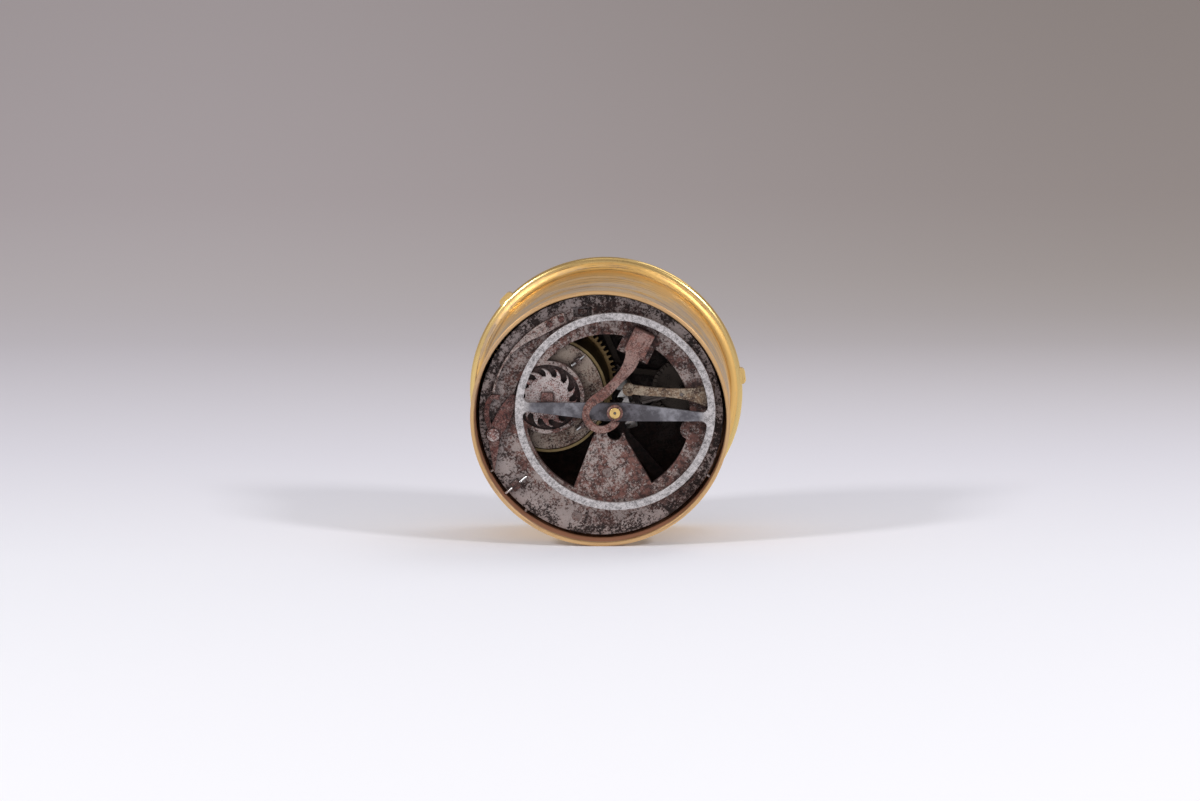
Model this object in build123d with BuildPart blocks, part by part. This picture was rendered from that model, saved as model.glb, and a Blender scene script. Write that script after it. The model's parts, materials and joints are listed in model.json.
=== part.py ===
from build123d import *

import os
from math import atan2, cos, degrees, pi, radians, sin

os.makedirs("parts", exist_ok=True)

# Drum table clock in the manner of the sixteenth century, in millimetres.
# It stands on the rim of its open base with the dial on top, and Z is the axis of the drum.
# The layout of the movement is given as the open base is looked into: "across" runs to the
# right, "up" runs upwards, angles turn anticlockwise from "across", and "depth" is the height
# above the base rim, so a small depth is near the opening and a large one is near the dial.
view_angle = 207.0

# Case: the gilt drum, its turned lip at the open base and the moulding round the dial
wall_radius = 32.3
wall = 0.8
lip_radius = 32.5
lip_height = 0.9
lip_groove = 0.2
cove_height = 2.6
moulding_overhang = 3.2
moulding_round = 1.25
shoulder_width = 1.2
bezel_height = 3.9
bezel_top_width = 1.1
bezel_step = 0.7
tab_length = 4.3
tab_height = 1.7
tab_proud = 1.0
tab_angles = [136.2, 7.0, 248.4]

# Frame of the movement: two iron plates held apart by three pillars
plate_depth = 5.0
plate_thickness = 2.0
pillar_collar_height = 1.9
back_plate_gap = 0.9
front_plate_gap = 0.2
opening_radius = 20.6
opening_across = 1.8
opening_up = 0.15
pillar_radius = 2.0
pillar_waist = 1.3
pillar_places = {"left": (-21.5, -17.65), "top": (-4.35, 26.4), "right": (20.9, -17.9)}
tenon_side = 2.3
tenon_proud = 1.5
flush_tenon_sink = 0.7
flush_tenon_height = 1.3
flush_pocket_length = 4.6
flush_pocket_height = 2.6

# Spoke of the back plate, with its half-round notch near the verge
spoke_root_left = (-8.0, -21.0)
spoke_shoulder_left = (-2.3, -6.1)
spoke_tip_left = (-1.5, -4.5)
spoke_tip_right = (5.7, -4.5)
spoke_shoulder_right = (6.2, -6.1)
spoke_root_right = (14.7, -21.0)
notch_radius = 1.9
notch_place = (3.4, -4.5)
ear_radius = 2.5
ear_place = (22.4, -3.6)
plug_radius = 1.25
plug_proud = 0.1
plug_places = [(1.5, -14.6), (-6.3, -25.8)]

# Taper pins, all driven the same way
pin_radius = 0.36
pin_taper = 0.12
pin_angle = 39.0
pillar_pin_length = 7.0
lid_pin_length = 4.2
case_pin_radius = 0.4
case_pin_length = 4.2
case_pin_proud = 0.3
case_pin_angles = [207.4, 232.0, 330.0]

# Fits: running gaps all round a shaft, and the seat of a fixed piece
running_fit = 0.05
seat_gap = 0.02
rest_gap = 0.3

# Wheel train: tooth counts and modules, and where the barrel stands
barrel_distance = 14.2
barrel_angle = 160.7
great_teeth = 72
second_pinion_leaves = 8
great_module = 0.45
second_angle = 9.0
second_teeth = 64
contrate_pinion_leaves = 8
second_module = 0.445
contrate_angle = -6.5
contrate_teeth = 42
crown_pinion_leaves = 6
contrate_module = 1 / 3
crown_teeth = 15
hour_teeth = 60
report_leaves = 10
wheel_addendum = 0.9
wheel_dedendum = 1.15
wheel_root_share = 0.52
wheel_tip_share = 0.24
leaf_addendum = 0.55
leaf_dedendum = 1.3
leaf_root_share = 0.32
leaf_tip_share = 0.26

# Barrel: a brass drum with an iron lid pinned on four posts, and the mainspring inside it
barrel_radius = 14.9
barrel_wall = 0.75
barrel_rim_depth = 8.9
barrel_bottom_depth = 26.2
barrel_bottom = 1.6
lid_depth = 8.6
lid_thickness = 0.9
lid_edge_gap = 0.2
ledge_width = 3.9
ledge_thickness = 1.2
post_circle = 11.6
post_side = 1.3
post_proud = 1.25
post_count = 4
post_start = 49.0
great_wheel_thickness = 1.6
stub_radius = 3.0
stub_waist = 1.5
stub_pivot_radius = 1.2
stub_end_radius = 0.9
spring_thickness = 0.35
spring_turns = 5
spring_core_gap = 0.12
spring_wall_gap = 0.5
spring_end_gap = 0.4

# Winding arbor, with the square that the key takes and the ratchet wheel on it
square_side = 3.0
square_end_depth = 3.2
journal_radius = 2.2
neck_radius = 2.0
core_radius = 3.2
arbor_pivot_radius = 1.5
arbor_pivot_length = 1.1
eye_radius = 9.3
eye_ring_width = 1.0
eye_sink = 0.7
ratchet_radius = 7.5
ratchet_root_radius = 5.5
ratchet_teeth = 14
ratchet_depth = 4.0
ratchet_thickness = 1.4
ratchet_phase = 0.0
ratchet_back = 0.3
ratchet_face = 0.62
ratchet_throat = 0.62
ratchet_lean = 0.9

# Click, its stud and its spring on the back plate
click_place = (-27.0, -4.7)
click_depth = 3.9
click_thickness = 1.0
click_hub_radius = 1.9
click_arm_width = 1.25
click_scroll_lean = (-28.35, -1.3)
click_scroll_knee = (-28.55, 2.2)
click_scroll_top = (-27.3, 4.75)
click_scroll_end = (-25.4, 4.7)
click_beak_root = (-27.9, -3.6)
click_beak_back = (-25.6, 1.6)
click_beak_tip = (-22.3, 5.6)
click_beak_gap = 0.15
click_beak_angle = 176.0
click_beak_belly = (-22.6, -0.6)
click_beak_heel = (-25.6, -5.6)
click_tail_left = (-28.3, -6.2)
click_tail_tip = (-26.9, -14.2)
click_tail_right = (-25.4, -6.2)
stud_head_radius = 1.6
stud_head_height = 0.7
stud_radius = 0.9
blade_edge_gap = 2.7
blade_root_width = 2.6
blade_tip_width = 0.7
blade_middle_width = 1.2
blade_root_angle = 109.0
blade_tip_angle = 167.0
blade_depth = 3.7
blade_foot_angle = 9.0
rivet_radius = 0.5
rivet_head_radius = 0.75
rivet_head_height = 0.25
rivet_shares = (0.25, 1)

# Escapement: balance, verge and crown wheel
verge_distance = 17.12
escapement_angle = 14.2
balance_radius = 25.1
balance_rim_width = 1.9
balance_thickness = 1.0
balance_depth = 1.9
balance_hub_half = 2.35
balance_tip_half = 0.95
balance_fillet = 1.4
staff_radius = 0.5
staff_seat_radius = 0.8
staff_pivot_radius = 0.3
pallet_length = 1.15
pallet_thickness = 0.35
pallet_height = 1.8
pallet_angle = 47.5
pallet_gap = 0.2
crown_radius = 6.3
crown_rim = 0.75
crown_tooth_length = 1.8
saw_undercut = 0.22
saw_tip_share = 0.03
saw_rise_share = 0.05
crown_band = 0.75
crown_web = 0.45
crown_axis_depth = 10.3

# Balance cock: an S-shaped arm that starts from a block on the plate and ends round the bush
cock_depth = 0.6
cock_thickness = 1.0
cock_block_place = (9.9, 19.0)
cock_block_angle = 63.4
cock_block_length = 6.2
cock_block_width = 5.3
cock_collar_radius = 2.0
cock_outer_edge = [(6.6, 17.4), (3.7, 10.7), (-0.05, 7.2), (-3.05, 4.7), (-4.35, 2.2),
                   (-4.3, -0.3), (-2.6, -2.6), (-0.05, -3.6), (2.7, -3.0), (4.9, -0.9)]
cock_inner_edge = [(2.9, -0.35), (1.4, -1.6), (-0.05, -1.85), (-1.8, -0.9), (-2.65, 0.5),
                   (-2.4, 2.2), (-1.3, 3.45), (1.2, 4.95), (4.95, 8.7), (8.9, 12.9), (10.1, 15.6)]
cock_bush_radius = 1.35
cock_bush_proud = 0.15
lug_length = 9.0
lug_width = 8.4
cock_tenon_side = 2.2

# Bridge over the crown wheel's arbor, with its two legs, and the potence under the verge
bridge_depth = 3.3
bridge_thickness = 1.1
bridge_head = (7.1, 6.9)
bridge_head_radius = 1.6
bridge_upper_edge = [(8.3, 8.1), (13.5, 7.4), (20.0, 7.1), (25.9, 7.6)]
bridge_lower_edge = [(26.4, 2.6), (21.1, 4.4), (14.9, 5.2), (8.3, 5.7)]
bridge_end = 28.6
bridge_pad_start = 23.6
bridge_pad_upper_slope = 1.0
bridge_pad_lower_slope = 2.0
bridge_rivet_place = (26.9, 5.1)
leg_thickness = 1.2
inner_leg_distance = 4.9
inner_leg_reach = (3.4, 5.2)
outer_leg_distance = 13.1
outer_leg_reach = (0.4, 2.2)
leg_eye_radius = 1.45
crown_arbor_radius = 0.6
crown_pinion_gap = 0.4
potence_post = (15.8, -19.8)
potence_knee = (5.6, -7.8)
potence_width = 2.8
potence_arm_depth = 18.6
potence_arm_thickness = 1.6

# Depths of the other wheels between the plates, their hubs and their arbors
contrate_rim_width = 1.0
contrate_rim_height = 1.5
contrate_web = 0.6
contrate_addendum = 0.75
contrate_dedendum = 1.5
contrate_root_share = 0.42
contrate_tip_share = 0.16
wheel_level_gap = 0.8
front_wheel_gap = 0.6
train_wheel_thickness = 0.8
wheel_rim_width = 1.8
pinion_over = 0.3
wheel_hub_radius = 2.2
wheel_arm_width = 1.5
wheel_arms = 6
train_arbor_radius = 0.75
pivot_radius = 0.45

# Dial side: hour wheel, dial, chapter ring, touch studs and the single hand
under_dial = 3.6
dial_thickness = 1.1
dial_edge_gap = 0.1
hour_wheel_thickness = 1.2
hour_wheel_lift = 0.3
hour_arbor_radius = 1.3
hand_arbor_radius = 1.0
hour_pivot_radius = 0.9
dial_foot_circle = 25.0
dial_foot_radius = 1.3
dial_foot_tenon_radius = 0.8
foot_tenon_proud = 1.1
foot_pin_length = 4.0
dial_foot_angles = [30.0, 150.0, 270.0]
chapter_outer = 30.8
chapter_inner = 20.0
chapter_thickness = 0.5
touch_circle = 29.4
touch_radius = 0.55
touch_pin_radius = 0.35
touch_height = 0.8
hand_thickness = 0.7
hand_lift = 0.9
hand_hub_radius = 2.3
hand_stud_gap = 1.85
hand_reach = touch_circle - touch_radius - hand_stud_gap
hand_leaf_length = 12.0
hand_leaf_width = 3.4
hand_leaf_share = 0.6
hand_neck = 1.6
hand_tail = 9.0
hand_pin_length = 3.4
hand_pin_radius = 0.25
washer_radius = 1.9
washer_thickness = 0.4
hours = 12

# Places worked out from the sizes above
bore_radius = wall_radius - wall
moulding_radius = wall_radius + moulding_overhang
back_plate_radius = bore_radius - back_plate_gap
blade_radius = back_plate_radius - blade_edge_gap
plate_back = plate_depth + plate_thickness
second_wheel_depth = barrel_bottom_depth + great_wheel_thickness + wheel_level_gap
pillar_length = second_wheel_depth + train_wheel_thickness + front_wheel_gap - plate_back
front_plate_depth = plate_back + pillar_length
shoulder_depth = front_plate_depth + plate_thickness
seat_depth = shoulder_depth + under_dial
chapter_depth = seat_depth + dial_thickness
case_height = seat_depth + bezel_height
dial_bore_radius = bore_radius - shoulder_width
second_centres = great_module * (great_teeth + second_pinion_leaves) / 2
contrate_centres = second_module * (second_teeth + contrate_pinion_leaves) / 2
contrate_radius = contrate_module * contrate_teeth / 2
crown_pinion_radius = contrate_module * crown_pinion_leaves / 2
report_module = 2 * barrel_distance / (hour_teeth + report_leaves)

across = Vector(cos(radians(view_angle)), sin(radians(view_angle)), 0)
upward = Vector(across.Y, -across.X, 0)


def polar(radius, angle, centre=(0, 0)):
    """A place at a radius and angle round a centre, as seen from the open base."""
    return (centre[0] + radius * cos(radians(angle)), centre[1] + radius * sin(radians(angle)))


barrel_place = polar(barrel_distance, barrel_angle)
second_place = polar(second_centres, second_angle, barrel_place)
contrate_place = polar(contrate_centres, contrate_angle, second_place)
verge_place = polar(-verge_distance, escapement_angle, contrate_place)


def point(place, depth):
    """The point in space at a place of the layout and a depth."""
    return across * place[0] + upward * place[1] + Vector(0, 0, depth)


def view(depth, place=(0, 0)):
    """A plane square to the drum's axis, looked at from the open base."""
    return Plane(origin=point(place, depth), x_dir=across, z_dir=(0, 0, -1))


def upright(place=(0, 0)):
    """An upright plane through a place, with the depth as its height."""
    return Plane(origin=point(place, 0), x_dir=across, z_dir=across.cross(Vector(0, 0, 1)))


def lying(place, depth, angle):
    """A plane at a place that faces along a level direction, for pins laid across."""
    return Plane(origin=point(place, depth), x_dir=(0, 0, 1), z_dir=point(polar(1, angle), 0))


def crown_plane(distance):
    """A plane square to the crown wheel's arbor, at a distance from the verge."""
    along = point(polar(1, escapement_angle), 0)
    start = point(polar(distance, escapement_angle, verge_place), crown_axis_depth)
    return Plane(origin=start, x_dir=Vector(0, 0, 1).cross(along), z_dir=along)


def keep(piece, name):
    """Name a finished piece and write it."""
    piece.part.label = name
    export_step(piece.part, "parts/" + name + ".step")


def turned(place, steps):
    """A turned piece about an upright axis: steps of start depth, end depth and radius."""
    outline = [(0, steps[0][0])]
    for start, end, radius in steps:
        outline += [(radius, start), (radius, end)]
    outline.append((0, steps[-1][1]))
    with BuildPart() as piece:
        with BuildSketch(upright(place)):
            with BuildLine():
                Polyline(*outline, close=True)
            make_face()
        revolve(axis=Axis(point(place, 0), (0, 0, 1)))
    return piece


def toothed(teeth, module, start, leaf=False):
    """The outline of a wheel or, as a leaf, of a pinion, with a tooth centred on the start angle."""
    addendum = (leaf_addendum if leaf else wheel_addendum) * module
    dedendum = (leaf_dedendum if leaf else wheel_dedendum) * module
    root = module * teeth / 2 - dedendum
    tip = module * teeth / 2 + addendum
    root_half = degrees((leaf_root_share if leaf else wheel_root_share) * pi * module / 2 / root)
    tip_half = degrees((leaf_tip_share if leaf else wheel_tip_share) * pi * module / 2 / tip)
    outline = []
    for tooth in range(teeth):
        middle = start + 360 * tooth / teeth
        outline += [polar(root, middle - root_half), polar(tip, middle - tip_half)]
        outline += [polar(tip, middle + tip_half), polar(root, middle + root_half)]
    return outline


def pinion(plane, leaves, module, start, length):
    """A pinion that starts on a plane and runs on for its length."""
    with BuildPart() as piece:
        with BuildSketch(plane):
            with BuildLine():
                Polyline(*toothed(leaves, module, start, leaf=True), close=True)
            make_face()
        extrude(amount=length)
    return piece


def taper_pin(place, depth, angle, length, radius, gap=0):
    """A taper pin laid across at a place, thick end first, or with a gap the hole for one."""
    with BuildPart(lying(polar(-length / 2, angle, place), depth, angle)) as piece:
        Cone(radius + gap, radius + gap - pin_taper, length, align=(Align.CENTER, Align.CENTER, Align.MIN))
    return piece.part


# Case drum: lip, wall, cove, and the shoulders that the front plate and the dial rest on
cove_foot = (wall_radius, seat_depth - cove_height)
cove_top = (moulding_radius - moulding_round, seat_depth)
with BuildPart() as case_drum:
    with BuildSketch(Plane.XZ):
        with BuildLine():
            Polyline((bore_radius + lip_groove, 0), (lip_radius - lip_groove, 0),
                     (lip_radius, lip_groove), (lip_radius, lip_height),
                     (wall_radius - lip_groove, lip_height + lip_groove),
                     (wall_radius, lip_height + 2 * lip_groove), cove_foot)
            TangentArc(cove_foot, cove_top, tangent=(0, 1))
            Polyline(cove_top, (dial_bore_radius, seat_depth), (dial_bore_radius, shoulder_depth),
                     (bore_radius, shoulder_depth), (bore_radius, lip_groove),
                     (bore_radius + lip_groove, 0))
        make_face()
    revolve(axis=Axis.Z)
    for angle in case_pin_angles:
        with BuildSketch(lying(polar(bore_radius - wall, angle), plate_depth + plate_thickness / 2, angle)):
            Circle(case_pin_radius + seat_gap)
        extrude(amount=3 * wall, mode=Mode.SUBTRACT)
keep(case_drum, "case_drum")

# Bezel: the round moulding over the dial's edge, with its three cast tabs
bezel_inner = bore_radius + dial_edge_gap
bezel_recess = moulding_radius - 2 * moulding_round + dial_edge_gap
bezel_shelf = bezel_inner + bezel_top_width
moulding_middle = seat_depth + moulding_round
with BuildPart() as bezel:
    with BuildSketch(Plane.XZ):
        with BuildLine():
            Polyline((bezel_recess, chapter_depth), (bezel_recess, seat_depth), cove_top)
            ThreePointArc(cove_top, (moulding_radius, moulding_middle),
                          (cove_top[0], moulding_middle + moulding_round))
            Polyline((cove_top[0], moulding_middle + moulding_round),
                     (bezel_shelf + bezel_step, moulding_middle + moulding_round),
                     (bezel_shelf + bezel_step, case_height - bezel_step))
            TangentArc((bezel_shelf + bezel_step, case_height - bezel_step), (bezel_shelf, case_height),
                       tangent=(0, 1))
            Polyline((bezel_shelf, case_height), (bezel_inner + lip_groove, case_height),
                     (bezel_inner, case_height - lip_groove), (bezel_inner, chapter_depth),
                     (bezel_recess, chapter_depth))
        make_face()
    revolve(axis=Axis.Z)
    with BuildSketch(view(moulding_middle - tab_height / 2)):
        for angle in tab_angles:
            with Locations(polar(moulding_radius + tab_proud / 2 - moulding_round / 2, angle)):
                SlotOverall(tab_length, tab_proud + moulding_round, rotation=angle + 90)
    extrude(amount=-tab_height)
keep(bezel, "bezel")

# Back plate: an iron ring with a spoke, an eye for the winding arbor, an ear and a cock lug
rivet_places = [polar(blade_radius - blade_root_width / 2, blade_root_angle + blade_foot_angle * share)
                for share in rivet_shares]
with BuildPart() as back_plate:
    with BuildSketch(view(plate_depth)):
        Circle(back_plate_radius)
        with Locations((opening_across, opening_up)):
            Circle(opening_radius, mode=Mode.SUBTRACT)
        with BuildLine():
            Polyline(spoke_root_left, spoke_shoulder_left, spoke_tip_left, spoke_tip_right,
                     spoke_shoulder_right, spoke_root_right, close=True)
        make_face()
        with Locations(notch_place):
            Circle(notch_radius, mode=Mode.SUBTRACT)
        with Locations(barrel_place):
            Circle(eye_radius)
        with Locations(ear_place):
            Circle(ear_radius)
        with Locations(cock_block_place):
            Rectangle(lug_length, lug_width, rotation=cock_block_angle)
        with Locations(barrel_place):
            Circle(journal_radius + running_fit, mode=Mode.SUBTRACT)
        with Locations(*plug_places):
            Circle(plug_radius + seat_gap, mode=Mode.SUBTRACT)
        with Locations(pillar_places["left"], pillar_places["right"]):
            Rectangle(tenon_side + 2 * seat_gap, tenon_side + 2 * seat_gap,
                      rotation=pin_angle, mode=Mode.SUBTRACT)
        with Locations(pillar_places["top"]):
            Rectangle(tenon_side + 2 * seat_gap, flush_tenon_height + 2 * seat_gap,
                      mode=Mode.SUBTRACT)
        with Locations(cock_block_place):
            Rectangle(cock_tenon_side + 2 * seat_gap, cock_tenon_side + 2 * seat_gap,
                      rotation=cock_block_angle, mode=Mode.SUBTRACT)
        with Locations(click_place, potence_post, bridge_rivet_place):
            Circle(stud_radius + seat_gap, mode=Mode.SUBTRACT)
        with Locations(*rivet_places):
            Circle(rivet_radius + seat_gap, mode=Mode.SUBTRACT)
    extrude(amount=-plate_thickness)
    with BuildSketch(view(plate_depth, barrel_place)):
        Circle(eye_radius - eye_ring_width)
    extrude(amount=-eye_sink, mode=Mode.SUBTRACT)
    with BuildSketch(view(plate_depth, pillar_places["top"])):
        Rectangle(flush_pocket_length, flush_pocket_height)
    extrude(amount=-flush_tenon_sink, mode=Mode.SUBTRACT)
    for angle in case_pin_angles:
        inner_end = polar(lip_radius + case_pin_proud - case_pin_length - seat_gap, angle)
        with BuildSketch(lying(inner_end, plate_depth + plate_thickness / 2, angle)):
            Circle(case_pin_radius + seat_gap)
        extrude(amount=case_pin_length, mode=Mode.SUBTRACT)
keep(back_plate, "back_plate")

# Front plate: the iron disc behind the dial, against the shoulder of the case
dial_foot_places = [polar(dial_foot_circle, angle) for angle in dial_foot_angles]
with BuildPart() as front_plate:
    with BuildSketch(view(front_plate_depth)):
        Circle(bore_radius - front_plate_gap)
        with Locations(barrel_place):
            Circle(stub_pivot_radius + running_fit, mode=Mode.SUBTRACT)
        with Locations(second_place, contrate_place):
            Circle(pivot_radius + running_fit, mode=Mode.SUBTRACT)
        Circle(hour_pivot_radius + running_fit, mode=Mode.SUBTRACT)
        with Locations(*pillar_places.values()):
            Circle(tenon_side / 2 + seat_gap, mode=Mode.SUBTRACT)
        with Locations(*dial_foot_places):
            Circle(dial_foot_tenon_radius + seat_gap, mode=Mode.SUBTRACT)
    extrude(amount=-plate_thickness)
keep(front_plate, "front_plate")


def pillar(place, tenon_depth, tenon_height, turn):
    """A turned pillar with a waist, an oblong tenon to the back plate and a round one in front."""
    middle = (plate_back + front_plate_depth) / 2
    waist_start = (pillar_waist, plate_back + 2 * pillar_collar_height)
    waist_end = (pillar_waist, front_plate_depth - 2 * pillar_collar_height)
    with BuildPart() as piece:
        with BuildSketch(upright(place)):
            with BuildLine():
                Polyline(waist_start, (pillar_radius, plate_back + pillar_collar_height),
                         (pillar_radius, plate_back),
                         (0, plate_back), (0, shoulder_depth), (tenon_side / 2, shoulder_depth),
                         (tenon_side / 2, front_plate_depth), (pillar_radius, front_plate_depth),
                         (pillar_radius, front_plate_depth - pillar_collar_height), waist_end)
                ThreePointArc(waist_start, ((pillar_waist + pillar_radius) / 2, middle), waist_end)
            make_face()
        revolve(axis=Axis(point(place, 0), (0, 0, 1)))
        with BuildSketch(view(tenon_depth, place)):
            Rectangle(tenon_side, tenon_height, rotation=turn)
        extrude(amount=tenon_depth - plate_back)
    return piece


# Pillars: two are held by taper pins through their tenons, the top one is riveted flush
pillar_pin_depth = plate_depth - rest_gap - pin_radius
pillar_pins = []
for name in ("left", "right"):
    place = pillar_places[name]
    post = pillar(place, plate_depth - tenon_proud, tenon_side, pin_angle)
    hole = taper_pin(place, pillar_pin_depth, pin_angle, pillar_pin_length, pin_radius, seat_gap)
    pillar_pins.append(taper_pin(place, pillar_pin_depth, pin_angle, pillar_pin_length, pin_radius))
    with BuildPart() as pinned_post:
        add(post.part)
        add(hole, mode=Mode.SUBTRACT)
    keep(pinned_post, "pillar_" + name)
top_post = pillar(pillar_places["top"], plate_depth + rest_gap, flush_tenon_height, 0)
keep(top_post, "pillar_top")
with BuildPart() as pillar_pin_set:
    add(pillar_pins)
keep(pillar_pin_set, "pillar_pins")

# Case pins: driven through the wall into the edge of the back plate
with BuildPart() as case_pins:
    for angle in case_pin_angles:
        outer_end = polar(lip_radius + case_pin_proud, angle)
        with BuildSketch(lying(outer_end, plate_depth + plate_thickness / 2, angle)):
            Circle(case_pin_radius)
        extrude(amount=-case_pin_length)
keep(case_pins, "case_pins")

# Plugs: old rivet holes in the spoke and the ring, filled with iron
with BuildPart() as plate_plugs:
    with BuildSketch(view(plate_depth - plug_proud)):
        with Locations(*plug_places):
            Circle(plug_radius)
    extrude(amount=-plate_thickness)
keep(plate_plugs, "plate_plugs")

# Barrel drum: wall, inner ledge, bottom, and the stub that runs in the front plate
barrel_bore = barrel_radius - barrel_wall
barrel_floor = barrel_bottom_depth - barrel_bottom
ledge_depth = lid_depth + lid_thickness
ledge_end = ledge_depth + ledge_thickness
great_end = barrel_bottom_depth + great_wheel_thickness
blind_depth = barrel_floor + arbor_pivot_length + running_fit
report_depth = shoulder_depth + rest_gap
report_end = report_depth + hour_wheel_thickness + 2 * hour_wheel_lift
with BuildPart() as barrel_drum:
    with BuildSketch(upright(barrel_place)):
        with BuildLine():
            Polyline((barrel_bore, barrel_rim_depth), (barrel_radius, barrel_rim_depth),
                     (barrel_radius, barrel_bottom_depth), (stub_radius, barrel_bottom_depth),
                     (stub_radius, great_end), (stub_waist, great_end),
                     (stub_waist, front_plate_depth - rest_gap),
                     (stub_pivot_radius, front_plate_depth - rest_gap),
                     (stub_pivot_radius, report_depth), (stub_end_radius, report_depth),
                     (stub_end_radius, report_end), (0, report_end), (0, blind_depth),
                     (arbor_pivot_radius + running_fit, blind_depth),
                     (arbor_pivot_radius + running_fit, barrel_floor), (barrel_bore, barrel_floor),
                     (barrel_bore, ledge_end), (barrel_bore - ledge_width, ledge_end),
                     (barrel_bore - ledge_width, ledge_depth), (barrel_bore, ledge_depth), close=True)
        make_face()
    revolve(axis=Axis(point(barrel_place, 0), (0, 0, 1)))
keep(barrel_drum, "barrel_drum")

# Barrel lid: an iron disc in the mouth of the barrel, held by taper pins across four square posts
post_places = [polar(post_circle, post_start + 360 * n / post_count, barrel_place)
               for n in range(post_count)]
lid_pin_depth = lid_depth - (post_proud + seat_gap) / 2
with BuildPart() as barrel_lid:
    with BuildSketch(view(lid_depth)):
        with Locations(barrel_place):
            Circle(barrel_bore - lid_edge_gap)
            Circle(neck_radius + running_fit, mode=Mode.SUBTRACT)
        with Locations(*post_places):
            Rectangle(post_side + 2 * seat_gap, post_side + 2 * seat_gap,
                      rotation=pin_angle, mode=Mode.SUBTRACT)
    extrude(amount=-lid_thickness)
keep(barrel_lid, "barrel_lid")
lid_pins = [taper_pin(place, lid_pin_depth, pin_angle, lid_pin_length, pin_radius)
            for place in post_places]
lid_pin_holes = [taper_pin(place, lid_pin_depth, pin_angle, lid_pin_length, pin_radius, seat_gap)
                 for place in post_places]
with BuildPart() as lid_posts:
    with BuildSketch(view(lid_depth - post_proud)):
        with Locations(*post_places):
            Rectangle(post_side, post_side, rotation=pin_angle)
    extrude(amount=-post_proud - lid_thickness)
    add(lid_pin_holes, mode=Mode.SUBTRACT)
keep(lid_posts, "lid_posts")
with BuildPart() as lid_pin_set:
    add(lid_pins)
keep(lid_pin_set, "lid_pins")

# Mainspring: a flat spiral of half turns that opens out from the arbor to the barrel's wall
spring_start = core_radius + spring_core_gap
spring_pitch = (barrel_bore - spring_wall_gap - spring_thickness - spring_start) / spring_turns
spring_depth = ledge_end + spring_end_gap
with BuildPart() as mainspring:
    with BuildSketch(view(spring_depth, barrel_place)):
        with BuildLine():
            for face_radius in (spring_start, spring_start + spring_thickness):
                for turn in range(spring_turns):
                    radius = face_radius + spring_pitch * turn
                    ThreePointArc((radius, 0), (0, radius), (-radius, 0))
                    ThreePointArc((-radius, 0), (spring_pitch / 2, -radius - spring_pitch / 2),
                                  (radius + spring_pitch, 0))
            Line((spring_start, 0), (spring_start + spring_thickness, 0))
            spring_end = spring_start + spring_pitch * spring_turns
            Line((spring_end, 0), (spring_end + spring_thickness, 0))
        make_face()
    extrude(amount=spring_depth + spring_end_gap - barrel_floor)
keep(mainspring, "mainspring")

# Great wheel under the barrel's bottom, on its stub
with BuildPart() as great_wheel:
    with BuildSketch(view(barrel_bottom_depth, barrel_place)):
        with BuildLine():
            Polyline(*toothed(great_teeth, great_module, second_angle), close=True)
        make_face()
        Circle(stub_radius + seat_gap, mode=Mode.SUBTRACT)
    extrude(amount=-great_wheel_thickness)
keep(great_wheel, "great_wheel")

# Report pinion: on the end of the stub, in front of the front plate
report_leaf = barrel_angle + 180 + 180 / report_leaves
report_blank = pinion(view(report_depth, barrel_place), report_leaves, report_module, report_leaf,
                      report_depth - report_end)
report_hole = turned(barrel_place, [(report_depth, report_end, stub_end_radius + seat_gap)])
with BuildPart() as report_pinion:
    add(report_blank.part)
    add(report_hole.part, mode=Mode.SUBTRACT)
keep(report_pinion, "report_pinion")

# Winding arbor: key square, journal in the plate's eye, neck in the lid, core and inner pivot
eye_floor = plate_depth + eye_sink
core_start = ledge_depth + running_fit
core_end = barrel_floor - running_fit
arbor_shaft = turned(barrel_place, [(eye_floor, plate_back, journal_radius),
                                    (plate_back, core_start, neck_radius),
                                    (core_start, core_end, core_radius),
                                    (core_end, core_end + arbor_pivot_length, arbor_pivot_radius)])
with BuildPart() as barrel_arbor:
    add(arbor_shaft.part)
    with BuildSketch(view(square_end_depth, barrel_place)):
        Rectangle(square_side, square_side)
    extrude(amount=square_end_depth - eye_floor)
keep(barrel_arbor, "barrel_arbor")

# Ratchet wheel: long hooked teeth that lean anticlockwise, on the key square
ratchet_step = 360 / ratchet_teeth
tooth_foot = ratchet_root_radius - seat_gap
tooth_middle = (ratchet_radius + ratchet_root_radius) / 2
with BuildPart() as ratchet_wheel:
    with BuildSketch(view(ratchet_depth, barrel_place)):
        Circle(ratchet_root_radius)
        for tooth in range(ratchet_teeth):
            turn = ratchet_step * (tooth + ratchet_phase)
            heel = polar(tooth_foot, turn)
            tip = polar(ratchet_radius, turn + ratchet_step * ratchet_lean)
            throat = polar(tooth_foot, turn + ratchet_step * ratchet_throat)
            with BuildLine():
                ThreePointArc(heel, polar(tooth_middle, turn + ratchet_step * ratchet_back), tip)
                ThreePointArc(tip, polar(tooth_middle, turn + ratchet_step * ratchet_face), throat)
                Line(throat, heel)
            make_face()
        Rectangle(square_side + 2 * seat_gap, square_side + 2 * seat_gap, mode=Mode.SUBTRACT)
    extrude(amount=-ratchet_thickness)
keep(ratchet_wheel, "ratchet_wheel")

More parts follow.
